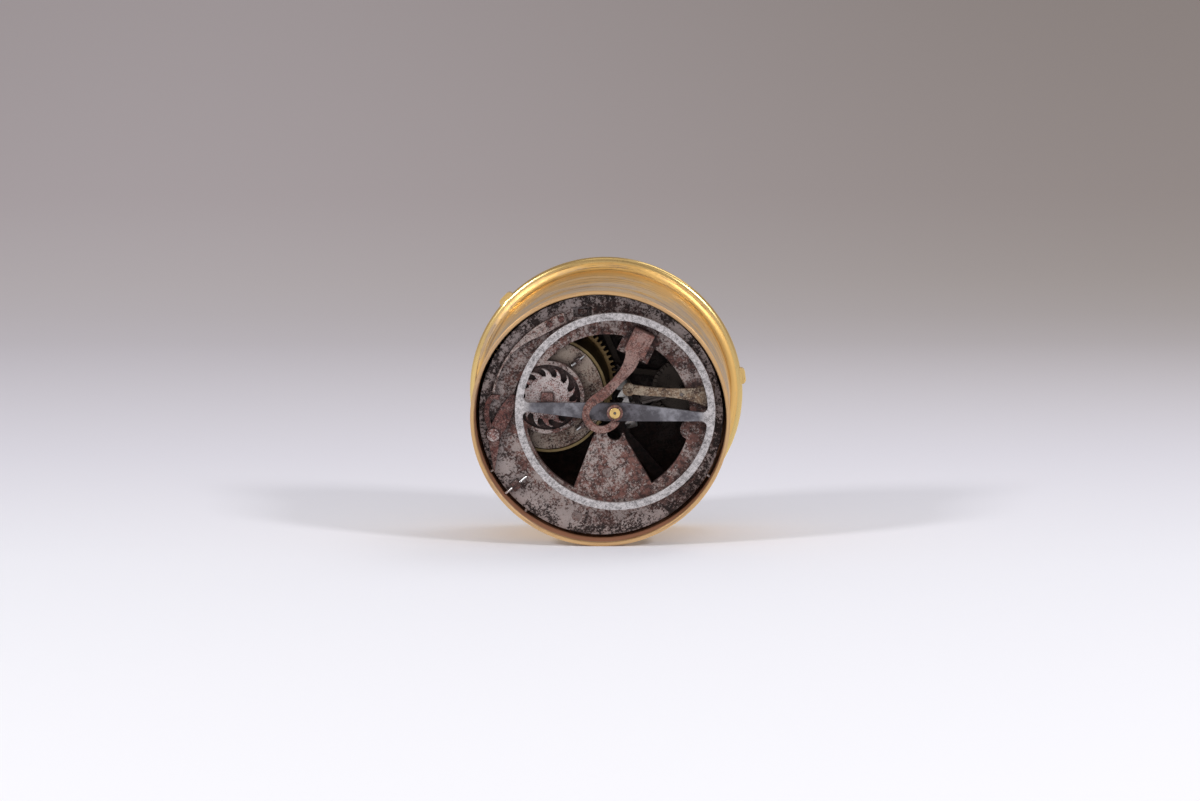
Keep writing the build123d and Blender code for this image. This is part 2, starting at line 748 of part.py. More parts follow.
# Click: hub, curled arm that the spring rests on, leaf-shaped beak and tapered tail
beak_point = polar(ratchet_radius + click_beak_gap, click_beak_angle, barrel_place)
with BuildPart() as click:
    with BuildSketch(view(click_depth)):
        with Locations(click_place):
            Circle(click_hub_radius)
        with BuildLine():
            Spline(click_place, click_scroll_lean, click_scroll_knee, click_scroll_top, click_scroll_end)
        trace(line_width=click_arm_width)
        with BuildLine():
            Spline(click_beak_root, click_beak_back, click_beak_tip)
            Line(click_beak_tip, beak_point)
            Spline(beak_point, click_beak_belly, click_beak_heel)
            Line(click_beak_heel, click_beak_root)
        make_face()
        with BuildLine():
            Polyline(click_tail_left, click_tail_tip, click_tail_right, close=True)
        make_face()
        with Locations(click_place):
            Circle(stud_radius + running_fit, mode=Mode.SUBTRACT)
    extrude(amount=-click_thickness)
keep(click, "click")

# Click stud: a round head over the click and a shank riveted in the plate
stud_head_depth = click_depth - running_fit - stud_head_height
click_stud = turned(click_place, [(stud_head_depth, click_depth - running_fit, stud_head_radius),
                                  (click_depth - running_fit, plate_back, stud_radius)])
keep(click_stud, "click_stud")

# Click spring: a long tapering blade along the edge of the plate, on a wide riveted foot
blade_middle_angle = (blade_root_angle + blade_tip_angle) / 2
blade_foot_end = polar(blade_radius - blade_root_width, blade_root_angle + 2 * blade_foot_angle)
blade_inner_root = polar(blade_radius - blade_root_width, blade_root_angle)
with BuildPart() as click_spring:
    with BuildSketch(view(blade_depth)):
        with BuildLine():
            ThreePointArc(polar(blade_radius, blade_root_angle), polar(blade_radius, blade_middle_angle),
                          polar(blade_radius, blade_tip_angle))
            Line(polar(blade_radius, blade_tip_angle),
                 polar(blade_radius - blade_tip_width, blade_tip_angle))
            Spline(polar(blade_radius - blade_tip_width, blade_tip_angle),
                   polar(blade_radius - blade_middle_width, blade_middle_angle), blade_foot_end)
            Polyline(blade_foot_end, blade_inner_root, polar(blade_radius, blade_root_angle))
        make_face()
        with Locations(*rivet_places):
            Circle(rivet_radius + seat_gap, mode=Mode.SUBTRACT)
    extrude(amount=blade_depth - plate_depth)
keep(click_spring, "click_spring")
rivets = [turned(place, [(blade_depth - rivet_head_height, blade_depth, rivet_head_radius),
                         (blade_depth, plate_back, rivet_radius)]).part for place in rivet_places]
with BuildPart() as spring_rivets:
    add(rivets)
keep(spring_rivets, "spring_rivets")

# Balance wheel: a flat ring on two tapered arms, the same after half a turn
balance_bore = balance_radius - balance_rim_width
arm_end = balance_radius - balance_rim_width / 2
verge_point = point(verge_place, 0)
with BuildPart() as balance_wheel:
    with BuildSketch(view(balance_depth, verge_place)):
        Circle(balance_radius)
        Circle(balance_bore, mode=Mode.SUBTRACT)
        with BuildLine():
            Polyline((arm_end, -balance_hub_half), (arm_end, 2 * balance_tip_half - balance_hub_half),
                     (balance_hub_half, balance_hub_half), (-arm_end, balance_hub_half),
                     (-arm_end, balance_hub_half - 2 * balance_tip_half),
                     (-balance_hub_half, -balance_hub_half), close=True)
        make_face()
        Circle(staff_seat_radius + seat_gap, mode=Mode.SUBTRACT)
    extrude(amount=-balance_thickness)
    corners = [edge for edge in balance_wheel.edges().filter_by(Axis.Z)
               if abs((edge.center() - verge_point - Vector(0, 0, edge.center().Z)).length
                      - balance_bore) < seat_gap]
    fillet(corners, balance_fillet)
keep(balance_wheel, "balance_wheel")

# Verge: the upright staff that carries the balance, with two pallets for the crown wheel
bush_depth = cock_depth - cock_bush_proud
staff_seat = cock_depth + cock_thickness + running_fit
staff_end = potence_arm_depth + potence_arm_thickness
pallet_middle = crown_radius - crown_rim / 2
staff = turned(verge_place, [(bush_depth + seat_gap, staff_seat, staff_pivot_radius),
                             (staff_seat, balance_depth + balance_thickness, staff_seat_radius),
                             (balance_depth + balance_thickness, potence_arm_depth - running_fit,
                              staff_radius),
                             (potence_arm_depth - running_fit, staff_end, staff_pivot_radius)])
with BuildPart() as verge:
    add(staff.part)
    for side in (-1, 1):
        turn = escapement_angle - side * pallet_angle
        start = crown_axis_depth + side * pallet_middle - pallet_height / 2
        with BuildSketch(view(start, verge_place)):
            with Locations(polar(pallet_length / 2, turn)):
                Rectangle(pallet_length, pallet_thickness, rotation=turn)
        extrude(amount=-pallet_height)
keep(verge, "verge")

# Crown wheel: a ring with saw teeth that point at the verge, on a thin web
tooth_start = pallet_length + pallet_gap
band_start = tooth_start + crown_tooth_length
crown_end = band_start + crown_band
saw_step = 2 * pi * crown_radius / crown_teeth
saw_rise = saw_rise_share * crown_tooth_length
crown_frame = crown_plane(tooth_start)
with BuildPart() as crown_wheel:
    with BuildSketch(crown_frame):
        Circle(crown_radius)
        Circle(crown_radius - crown_rim, mode=Mode.SUBTRACT)
    extrude(amount=crown_end - tooth_start)
    for tooth in range(crown_teeth):
        turn = radians(360 * tooth / crown_teeth)
        outward = crown_frame.x_dir * cos(turn) + crown_frame.y_dir * sin(turn)
        with BuildSketch(Plane(origin=crown_frame.origin, x_dir=crown_frame.z_dir.cross(outward),
                               z_dir=outward)):
            with BuildLine():
                Polyline((0, -saw_rise), (saw_step * saw_undercut, crown_tooth_length),
                         (saw_step * (1 - saw_tip_share), -saw_rise), close=True)
            make_face()
        extrude(amount=2 * crown_radius, mode=Mode.SUBTRACT)
    with BuildSketch(crown_plane(crown_end - crown_web)):
        Circle(crown_radius - crown_rim / 2)
    extrude(amount=crown_web)
    with BuildSketch(crown_frame):
        Circle(crown_arbor_radius + seat_gap)
    extrude(amount=crown_end, mode=Mode.SUBTRACT)
keep(crown_wheel, "crown_wheel")

# Crown wheel's arbor and pinion, between the two legs of the bridge
crown_pinion_start = inner_leg_distance + leg_thickness + crown_pinion_gap
crown_pinion_end = outer_leg_distance - crown_pinion_gap
crown_leaves = pinion(crown_plane(crown_pinion_start), crown_pinion_leaves, contrate_module, 0,
                      crown_pinion_end - crown_pinion_start)
with BuildPart() as crown_arbor:
    add(crown_leaves.part)
    with BuildSketch(crown_plane(band_start)):
        Circle(crown_arbor_radius)
    extrude(amount=outer_leg_distance + leg_thickness - band_start)
keep(crown_arbor, "crown_arbor")


def bridge_leg(distance, reach):
    """A flat leg from the underside of the bridge to an eye round the crown wheel's arbor."""
    top = crown_axis_depth - bridge_depth - bridge_thickness
    with BuildPart() as piece:
        with BuildSketch(crown_plane(distance)):
            with BuildLine():
                Polyline((-reach[0], -top), (-reach[1], -top), (-leg_eye_radius, 0), (leg_eye_radius, 0),
                         close=True)
            make_face()
            Circle(leg_eye_radius)
            Circle(crown_arbor_radius + running_fit, mode=Mode.SUBTRACT)
        extrude(amount=leg_thickness)
    return piece


# Potences of the crown wheel: the inner leg stands near the verge, the outer near the contrate
crown_potence = bridge_leg(inner_leg_distance, inner_leg_reach)
keep(crown_potence, "crown_potence")
counter_potence = bridge_leg(outer_leg_distance, outer_leg_reach)
keep(counter_potence, "crown_counter_potence")

# Crown bridge: the flat bar from the plate's edge to its round head beside the verge
bridge_upper_end = (bridge_end, bridge_upper_edge[-1][1])
bridge_lower_end = (bridge_end, bridge_lower_edge[0][1])
with BuildPart() as crown_bridge:
    with BuildSketch(view(bridge_depth)):
        with BuildLine():
            Spline(*bridge_upper_edge)
            Polyline(bridge_upper_edge[-1], bridge_upper_end, bridge_lower_end, bridge_lower_edge[0])
            Spline(*bridge_lower_edge)
            Line(bridge_lower_edge[-1], bridge_upper_edge[0])
        make_face()
        with Locations(bridge_head):
            Circle(bridge_head_radius)
    extrude(amount=-bridge_thickness)
    with BuildSketch(view(bridge_depth + bridge_thickness)):
        with BuildLine():
            Polyline((bridge_pad_start, bridge_upper_edge[-2][1]),
                     (bridge_pad_start + bridge_pad_upper_slope, bridge_upper_end[1]),
                     bridge_upper_end, bridge_lower_end,
                     (bridge_pad_start + bridge_pad_lower_slope, bridge_lower_end[1]),
                     (bridge_pad_start, bridge_lower_edge[1][1]), close=True)
        make_face()
    extrude(amount=bridge_depth + bridge_thickness - plate_depth)
    with BuildSketch(view(bridge_depth)):
        with Locations(bridge_rivet_place):
            Circle(stud_radius + seat_gap)
        with Locations(contrate_place):
            Circle(pivot_radius + running_fit)
    extrude(amount=bridge_depth - plate_depth, mode=Mode.SUBTRACT)
keep(crown_bridge, "crown_bridge")
bridge_rivet = turned(bridge_rivet_place, [(bridge_depth - seat_gap, plate_back, stud_radius)])
keep(bridge_rivet, "bridge_rivet")

# Verge potence: a post behind the ring and a bent arm with the far pivots of verge and second arbor
potence_route = [potence_post, potence_knee, verge_place, second_place]
with BuildPart() as verge_potence:
    with BuildSketch(view(potence_arm_depth)):
        for start, end in zip(potence_route, potence_route[1:]):
            run = Vector(end[0] - start[0], end[1] - start[1])
            with Locations(((start[0] + end[0]) / 2, (start[1] + end[1]) / 2)):
                SlotCenterToCenter(run.length, potence_width, rotation=degrees(atan2(run.Y, run.X)))
        with Locations(verge_place):
            Circle(staff_pivot_radius + running_fit, mode=Mode.SUBTRACT)
        with Locations(second_place):
            Circle(pivot_radius + running_fit, mode=Mode.SUBTRACT)
    extrude(amount=-potence_arm_thickness)
    with BuildSketch(view(plate_back, potence_post)):
        Circle(potence_width / 2)
    extrude(amount=plate_back - potence_arm_depth)
    with BuildSketch(view(plate_depth, potence_post)):
        Circle(stud_radius)
    extrude(amount=-plate_thickness)
keep(verge_potence, "verge_potence")

# Balance cock: block and tenon on the plate's lug, and the S-shaped arm over the balance
cock_end = plate_back + tenon_proud
cock_pin_depth = plate_back + rest_gap + pin_radius
cock_pin_hole = taper_pin(cock_block_place, cock_pin_depth, cock_block_angle, lid_pin_length,
                          pin_radius, seat_gap)
with BuildPart() as balance_cock:
    with BuildSketch(view(cock_depth)):
        with BuildLine():
            Spline(*cock_outer_edge)
            Line(cock_outer_edge[-1], cock_inner_edge[0])
            Spline(*cock_inner_edge)
            Line(cock_inner_edge[-1], cock_outer_edge[0])
        make_face()
        with Locations(verge_place):
            Circle(cock_collar_radius)
        with Locations(verge_place):
            Circle(cock_bush_radius + seat_gap, mode=Mode.SUBTRACT)
    extrude(amount=-cock_thickness)
    with BuildSketch(view(cock_depth)):
        with Locations(cock_block_place):
            Rectangle(cock_block_length, cock_block_width, rotation=cock_block_angle)
    extrude(amount=cock_depth - plate_depth)
    with BuildSketch(view(plate_depth)):
        with Locations(cock_block_place):
            Rectangle(cock_tenon_side, cock_tenon_side, rotation=cock_block_angle)
    extrude(amount=plate_depth - cock_end)
    add(cock_pin_hole, mode=Mode.SUBTRACT)
keep(balance_cock, "balance_cock")
cock_pin_cone = taper_pin(cock_block_place, cock_pin_depth, cock_block_angle, lid_pin_length, pin_radius)
with BuildPart() as cock_pin:
    add(cock_pin_cone)
keep(cock_pin, "cock_pin")
with BuildPart() as cock_bush:
    with BuildSketch(view(bush_depth, verge_place)):
        Circle(cock_bush_radius)
        Circle(staff_pivot_radius + running_fit, mode=Mode.SUBTRACT)
    extrude(amount=-cock_thickness - cock_bush_proud)
keep(cock_bush, "cock_bush")

# Contrate wheel: upright teeth on its rim towards the crown wheel's pinion, on a thin web
mesh_depth = crown_axis_depth + crown_pinion_radius
tooth_root_depth = mesh_depth + contrate_dedendum * contrate_module
tooth_rise = (contrate_addendum + contrate_dedendum) * contrate_module
contrate_outer = contrate_radius + contrate_rim_width / 2
contrate_web_depth = tooth_root_depth + contrate_rim_height - contrate_web
root_half = contrate_root_share * pi * contrate_module / 2
tip_half = contrate_tip_share * pi * contrate_module / 2
with BuildPart() as contrate_wheel:
    with BuildSketch(view(tooth_root_depth, contrate_place)):
        Circle(contrate_outer)
        Circle(contrate_outer - contrate_rim_width, mode=Mode.SUBTRACT)
    extrude(amount=-contrate_rim_height)
    with BuildSketch(view(contrate_web_depth, contrate_place)):
        Circle(contrate_outer - contrate_rim_width / 2)
        Circle(train_arbor_radius + seat_gap, mode=Mode.SUBTRACT)
    extrude(amount=-contrate_web)
    for tooth in range(contrate_teeth):
        turn = escapement_angle + 180 + 360 * tooth / contrate_teeth
        foot = point(polar(contrate_outer - running_fit, turn, contrate_place), tooth_root_depth)
        with BuildSketch(Plane(origin=foot, x_dir=point(polar(1, turn + 90), 0),
                               z_dir=point(polar(-1, turn), 0))):
            with BuildLine():
                Polyline((-root_half, running_fit), (-root_half, 0), (-tip_half, -tooth_rise),
                         (tip_half, -tooth_rise), (root_half, 0), (root_half, running_fit), close=True)
            make_face()
        extrude(amount=contrate_rim_width - 2 * running_fit)
keep(contrate_wheel, "contrate_wheel")


def spoked_wheel(place, depth, teeth, module, start, thickness, bore):
    """A flat wheel with a rim, straight arms and a hub."""
    rim = module * teeth / 2 - wheel_dedendum * module - wheel_rim_width
    with BuildPart() as piece:
        with BuildSketch(view(depth, place)):
            with BuildLine():
                Polyline(*toothed(teeth, module, start), close=True)
            make_face()
            Circle(rim, mode=Mode.SUBTRACT)
            for arm in range(wheel_arms // 2):
                Rectangle(2 * rim + wheel_rim_width, wheel_arm_width,
                          rotation=start + 360 * arm / wheel_arms)
            Circle(wheel_hub_radius)
            Circle(bore, mode=Mode.SUBTRACT)
        extrude(amount=-thickness)
    return piece


# Second wheel and its arbor, driven by the great wheel, from the verge potence to the front plate
second_wheel = spoked_wheel(second_place, second_wheel_depth, second_teeth, second_module, contrate_angle,
                            train_wheel_thickness, train_arbor_radius + seat_gap)
keep(second_wheel, "second_wheel")
second_shaft = turned(second_place, [(potence_arm_depth, potence_arm_depth + potence_arm_thickness
                                      + running_fit, pivot_radius),
                                     (potence_arm_depth + potence_arm_thickness + running_fit,
                                      front_plate_depth - running_fit, train_arbor_radius),
                                     (front_plate_depth - running_fit, shoulder_depth, pivot_radius)])
second_leaves = pinion(view(barrel_bottom_depth - pinion_over, second_place), second_pinion_leaves,
                       great_module, second_angle + 180 + 180 / second_pinion_leaves,
                       -great_wheel_thickness - 2 * pinion_over)
with BuildPart() as second_arbor:
    add(second_shaft.part)
    add(second_leaves.part)
keep(second_arbor, "second_arbor")

# Contrate wheel's arbor, from the crown bridge to the front plate, with its pinion
contrate_shaft = turned(contrate_place, [(bridge_depth + seat_gap, bridge_depth + bridge_thickness
                                          + running_fit, pivot_radius),
                                         (bridge_depth + bridge_thickness + running_fit,
                                          front_plate_depth - running_fit, train_arbor_radius),
                                         (front_plate_depth - running_fit, shoulder_depth, pivot_radius)])
contrate_leaves = pinion(view(second_wheel_depth - pinion_over, contrate_place), contrate_pinion_leaves,
                         second_module, contrate_angle + 180 + 180 / contrate_pinion_leaves,
                         -train_wheel_thickness - 2 * pinion_over)
with BuildPart() as contrate_arbor:
    add(contrate_shaft.part)
    add(contrate_leaves.part)
keep(contrate_arbor, "contrate_arbor")

# Hour arbor at the middle of the front plate, with the wheel that the report pinion drives
hand_depth = chapter_depth + hand_lift
washer_depth = hand_depth + hand_thickness + running_fit
hand_pin_depth = washer_depth + washer_thickness + seat_gap + hand_pin_radius
hour_end = case_height - rest_gap / 2
hour_shaft = turned((0, 0), [(front_plate_depth, shoulder_depth + running_fit, hour_pivot_radius),
                             (shoulder_depth + running_fit, hand_depth - running_fit, hour_arbor_radius),
                             (hand_depth - running_fit, hour_end, hand_arbor_radius)])
hand_pin_hole = taper_pin((0, 0), hand_pin_depth, pin_angle, hand_pin_length, hand_pin_radius, seat_gap)
with BuildPart() as hour_arbor:
    add(hour_shaft.part)
    add(hand_pin_hole, mode=Mode.SUBTRACT)
keep(hour_arbor, "hour_arbor")
hour_wheel = spoked_wheel((0, 0), report_depth + hour_wheel_lift, hour_teeth, report_module, barrel_angle,
                          hour_wheel_thickness, hour_arbor_radius + seat_gap)
keep(hour_wheel, "hour_wheel")

# Dial: a gilt plate on three feet that are pinned behind the front plate
foot_pin_depth = front_plate_depth - seat_gap - pin_radius
foot_pins = [taper_pin(place, foot_pin_depth, angle + 90, foot_pin_length, pin_radius)
             for place, angle in zip(dial_foot_places, dial_foot_angles)]
foot_pin_holes = [taper_pin(place, foot_pin_depth, angle + 90, foot_pin_length, pin_radius, seat_gap)
                  for place, angle in zip(dial_foot_places, dial_foot_angles)]
with BuildPart() as dial_plate:
    with BuildSketch(view(seat_depth)):
        Circle(bezel_recess - dial_edge_gap)
        Circle(hour_arbor_radius + running_fit, mode=Mode.SUBTRACT)
    extrude(amount=-dial_thickness)
keep(dial_plate, "dial_plate")
feet = [turned(place, [(front_plate_depth - foot_tenon_proud, shoulder_depth, dial_foot_tenon_radius),
                       (shoulder_depth, seat_depth, dial_foot_radius)]).part
        for place in dial_foot_places]
with BuildPart() as dial_feet:
    add(feet)
    add(foot_pin_holes, mode=Mode.SUBTRACT)
keep(dial_feet, "dial_feet")
with BuildPart() as dial_pins:
    add(foot_pins)
keep(dial_pins, "dial_pins")

# Chapter ring, and the touch studs that let the hour be felt in the dark
with BuildPart() as chapter_ring:
    with BuildSketch(view(chapter_depth)):
        Circle(chapter_outer)
        Circle(chapter_inner, mode=Mode.SUBTRACT)
        with PolarLocations(touch_circle, hours):
            Circle(touch_pin_radius + seat_gap, mode=Mode.SUBTRACT)
    extrude(amount=-chapter_thickness)
keep(chapter_ring, "chapter_ring")
stud_outline = [(chapter_depth, chapter_depth + chapter_thickness, touch_pin_radius),
                (chapter_depth + chapter_thickness, chapter_depth + chapter_thickness + touch_height,
                 touch_radius)]
studs = [turned(polar(touch_circle, 360 * hour / hours), stud_outline).part for hour in range(hours)]
with BuildPart() as touch_studs:
    add(studs)
keep(touch_studs, "touch_studs")

# Hour hand: one piece with a leaf-shaped blade and a tail, turned by hand on its arbor
leaf_start = hand_reach - hand_leaf_length
leaf_middle = hand_reach - hand_leaf_share * hand_leaf_length
with BuildPart() as hour_hand:
    with BuildSketch(view(hand_depth)):
        Circle(hand_hub_radius)
        with BuildLine():
            Polyline((leaf_start, -hand_neck / 2), (0, -hand_neck / 2), (0, hand_neck / 2),
                     (leaf_start, hand_neck / 2))
            ThreePointArc((leaf_start, hand_neck / 2), (leaf_middle, hand_leaf_width / 2),
                          (hand_reach, 0))
            ThreePointArc((hand_reach, 0), (leaf_middle, -hand_leaf_width / 2),
                          (leaf_start, -hand_neck / 2))
        make_face()
        with BuildLine():
            Polyline((0, hand_neck / 2), (0, -hand_neck / 2), (-hand_tail, -hand_leaf_width / 2),
                     (-hand_tail, hand_leaf_width / 2), close=True)
        make_face()
        Circle(hand_arbor_radius + running_fit, mode=Mode.SUBTRACT)
    extrude(amount=-hand_thickness)
keep(hour_hand, "hour_hand")
with BuildPart() as hand_washer:
    with BuildSketch(view(washer_depth)):
        Circle(washer_radius)
        Circle(hand_arbor_radius + seat_gap, mode=Mode.SUBTRACT)
    extrude(amount=-washer_thickness)
keep(hand_washer, "hand_washer")
hand_pin_cone = taper_pin((0, 0), hand_pin_depth, pin_angle, hand_pin_length, hand_pin_radius)
with BuildPart() as hand_pin:
    add(hand_pin_cone)
keep(hand_pin, "hand_pin")
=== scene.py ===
# %% [markdown]
# # A drum table clock, seen into its open base
# A small gilt drum holds an iron movement. The clock lies on its side, so that the balance,
# the cock and the plates show. The CAD model holds every piece at its true size, and this lesson
# gives the pieces their finish: eased edges, rust, worn gilding, filed steel and an engraved dial.
# The first cell loads the imported CAD model.

import json
import math

import bmesh
import bpy
from mathutils import Matrix, Vector

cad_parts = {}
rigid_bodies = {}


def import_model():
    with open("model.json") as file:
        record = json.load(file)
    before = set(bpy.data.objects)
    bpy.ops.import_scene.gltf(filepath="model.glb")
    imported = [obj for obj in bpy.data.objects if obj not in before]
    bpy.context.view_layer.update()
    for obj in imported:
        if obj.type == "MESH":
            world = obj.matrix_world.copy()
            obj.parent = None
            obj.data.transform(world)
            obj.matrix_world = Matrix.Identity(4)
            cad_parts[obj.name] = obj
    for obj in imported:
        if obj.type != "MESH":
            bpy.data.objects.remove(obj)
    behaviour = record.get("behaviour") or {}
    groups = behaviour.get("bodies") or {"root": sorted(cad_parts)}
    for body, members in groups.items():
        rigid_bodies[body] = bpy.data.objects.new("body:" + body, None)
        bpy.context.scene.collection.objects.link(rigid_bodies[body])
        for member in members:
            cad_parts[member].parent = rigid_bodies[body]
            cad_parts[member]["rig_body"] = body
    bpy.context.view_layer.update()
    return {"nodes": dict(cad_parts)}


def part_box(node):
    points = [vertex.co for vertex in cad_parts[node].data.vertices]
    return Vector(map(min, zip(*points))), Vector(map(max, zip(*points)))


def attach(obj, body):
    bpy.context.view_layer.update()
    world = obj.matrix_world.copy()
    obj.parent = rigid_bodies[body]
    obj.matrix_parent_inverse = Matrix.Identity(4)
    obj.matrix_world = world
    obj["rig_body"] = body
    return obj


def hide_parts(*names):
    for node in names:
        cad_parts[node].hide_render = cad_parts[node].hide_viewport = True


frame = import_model()
MM = 0.001
print("pieces of the CAD model:", len(frame["nodes"]))

# %% [markdown]
# ## Directions
# The drum's axis is Z, and its open base is at height 0. The photograph looks into the base, so
# its right-hand and upward directions lie across the axis. Every place that is read off the
# photograph is given in these directions, in millimetres, with the depth counted from the base.

# %% The directions of the photograph
view_angle = math.radians(207)
across = Vector((math.cos(view_angle), math.sin(view_angle), 0))
upward = Vector((across.y, -across.x, 0))
inward = Vector((0, 0, 1))


def point(right, up, depth):
    """A point in metres, from its offsets in the photograph and its depth in millimetres."""
    return (across * right + upward * up + inward * depth) * MM


print("photograph's right:", [round(c, 3) for c in across], "up:", [round(c, 3) for c in upward])

# %% [markdown]
# ## Camera
# A camera could be placed by eye, but here it is worked out. The drum's near rim is 4.01 pixels
# to a millimetre in a frame 1200 pixels wide, and the far flange shows how fast sizes shrink with
# depth, which gives a distance of 827 mm. The deeper a circle lies, the higher it stands in the
# picture, and that gives the tilt between the drum's axis and the line of sight.

# %% The camera
photo_width = 1200
distance = 827.0
pixels_per_mm = 4.01
focal_pixels = pixels_per_mm * distance
axis_right = 0.0424
axis_up = 0.191
axis_back = -math.sqrt(1 - axis_right ** 2 - axis_up ** 2)
rim_right = 0.0
rim_up = -19.1 / pixels_per_mm

axis_seen = Vector((axis_right, axis_up, axis_back))
across_seen = Vector((-axis_back, 0, axis_right)).normalized()
upward_seen = (-axis_seen).cross(across_seen)
seen = Matrix((across_seen, upward_seen, axis_seen)).transposed()
real = Matrix((across, upward, inward)).transposed()
turn = real @ seen.transposed()
camera_data = bpy.data.cameras.new("camera")
camera_data.sensor_fit = "HORIZONTAL"
camera_data.sensor_width = 36.0
camera_data.lens = focal_pixels * camera_data.sensor_width / photo_width
camera_data.clip_start = 0.01
camera_data.clip_end = 20.0
camera = bpy.data.objects.new("camera", camera_data)
bpy.context.scene.collection.objects.link(camera)
stand_off = -Vector((rim_right, rim_up, -distance)) * MM
camera.matrix_world = Matrix.Translation(turn @ stand_off) @ turn.to_4x4()
bpy.context.scene.camera = camera
bpy.context.scene.view_settings.view_transform = "Standard"
print("lens:", round(camera_data.lens, 1), "mm; camera at", [round(c, 3) for c in camera.location])

# %% [markdown]
# ## A kit for finishes
# A material is a tree of shader nodes. Wiring each node by hand hides the idea of a finish, so a
# small class wraps an output socket: ordinary maths on it adds Math nodes. A second class holds
# the material, and one method adds any other node from its type, its settings and its sockets.

# %% Sockets that do maths
class Wire:
    """The value of one output socket; ordinary maths on it adds Math nodes."""

    def __init__(self, finish, socket):
        self.finish = finish
        self.socket = socket

    def maths(self, operation, first, second):
        return self.finish.node("Math", {"operation": operation}, {0: first, 1: second})

    def __add__(self, other):
        return self.maths("ADD", self, other)

    def __radd__(self, other):
        return self.maths("ADD", other, self)

    def __sub__(self, other):
        return self.maths("SUBTRACT", self, other)

    def __rsub__(self, other):
        return self.maths("SUBTRACT", other, self)

    def __mul__(self, other):
        return self.maths("MULTIPLY", self, other)

    def __rmul__(self, other):
        return self.maths("MULTIPLY", other, self)


print("a wire adds, subtracts and multiplies")

# %% A finish, and the nodes that every finish here uses
class Finish:
    """A tree of shader nodes under construction, for a material or for the world."""

    def __init__(self, owner):
        owner.use_nodes = True
        self.owner = owner
        self.tree = owner.node_tree
        self.tree.nodes.clear()

    def node(self, kind, settings=(), sockets=(), out=0):
        """Add a node of a type, with its settings first and then its sockets' values or links."""
        made = self.tree.nodes.new("ShaderNode" + kind)
        for name, value in dict(settings).items():
            if name == "stops":
                steps = made.color_ramp.elements
                for stop in list(steps)[1:]:
                    steps.remove(stop)
                for number, (position, colour) in enumerate(value):
                    stop = steps[0] if number == 0 else steps.new(position)
                    stop.position = position
                    stop.color = (*colour, 1)
            else:
                setattr(made, name, value)
        for name, value in dict(sockets).items():
            if isinstance(value, Wire):
                self.tree.links.new(value.socket, made.inputs[name])
            else:
                made.inputs[name].default_value = value
        return Wire(self, made.outputs[out]) if len(made.outputs) else None

    def place(self):
        """The place on the piece, in metres, before any joint moves it."""
        return self.node("TexCoord", out="Object")

    def vectors(self, operation, first, second=None):
        """Maths on vectors; a length, a distance and a dot product give a number."""
        sockets = {0: first} if second is None else {0: first, 1: second}
        gives_number = operation in ("LENGTH", "DISTANCE", "DOT_PRODUCT")
        return self.node("VectorMath", {"operation": operation}, sockets,
                         out="Value" if gives_number else "Vector")

    def flat(self, place):
        """A place without its height, as seen along the drum's axis."""
        return self.vectors("MULTIPLY", place, (1.0, 1.0, 0.0))

    def height(self):
        """The height over the base, in metres."""
        return self.node("SeparateXYZ", {}, {0: self.place()}, out="Z")

    def openness(self, reach):
        """1 on an open surface, and less where something lies nearer than the reach, in metres."""
        return self.node("AmbientOcclusion", {"samples": 4}, {"Distance": reach}, out="AO")

    def noise(self, scale, detail=4.0, roughness=0.6, vector=None):
        """Cloudy noise with so many waves to a metre."""
        return self.node("TexNoise", {}, {"Vector": vector or self.place(), "Scale": scale,
                                          "Detail": detail, "Roughness": roughness})

    def mask(self, value, low, high):
        """A soft step from 0 at the low value to 1 at the high one."""
        return self.node("MapRange", {"interpolation_type": "SMOOTHSTEP"},
                         {"Value": value, "From Min": low, "From Max": high})

    def blend(self, share, first, second, way="MIX"):
        """Two colours, mixed by a share from 0 to 1."""
        sockets = {0: share}
        for number, colour in ((6, first), (7, second)):
            sockets[number] = colour if isinstance(colour, Wire) else (*colour, 1)
        return self.node("Mix", {"data_type": "RGBA", "blend_type": way}, sockets, out=2)

    def times(self, share, first, second):
        """One colour darkened by another, as far as a share says."""
        return self.blend(share, first, second, "MULTIPLY")

    def ramp(self, value, *stops):
        """A colour that runs through stops, each a value and its colour."""
        return self.node("ValToRGB", {"stops": stops}, {0: value})

    def relief(self, height, strength, depth):
        """A normal that is tipped by a height, with the depth in metres."""
        return self.node("Bump", {}, {"Height": height, "Strength": strength, "Distance": depth})

    def surface(self, **sockets):
        """Close a material with one metal or paint shader."""
        names = {name.replace("_", " ").title(): value for name, value in sockets.items()}
        skin = self.node("BsdfPrincipled", {}, names)
        self.node("OutputMaterial", {}, {"Surface": skin})
        return self.owner


def shade(red, green, blue):
    """A colour of the screen, from 0 to 255, as the light that a shader needs."""
    return tuple(c / 12.92 if c <= 0.04045 else ((c + 0.055) / 1.055) ** 2.4
                 for c in (red / 255, green / 255, blue / 255))


print("a finish has cloudy noise, soft masks, blends and relief")
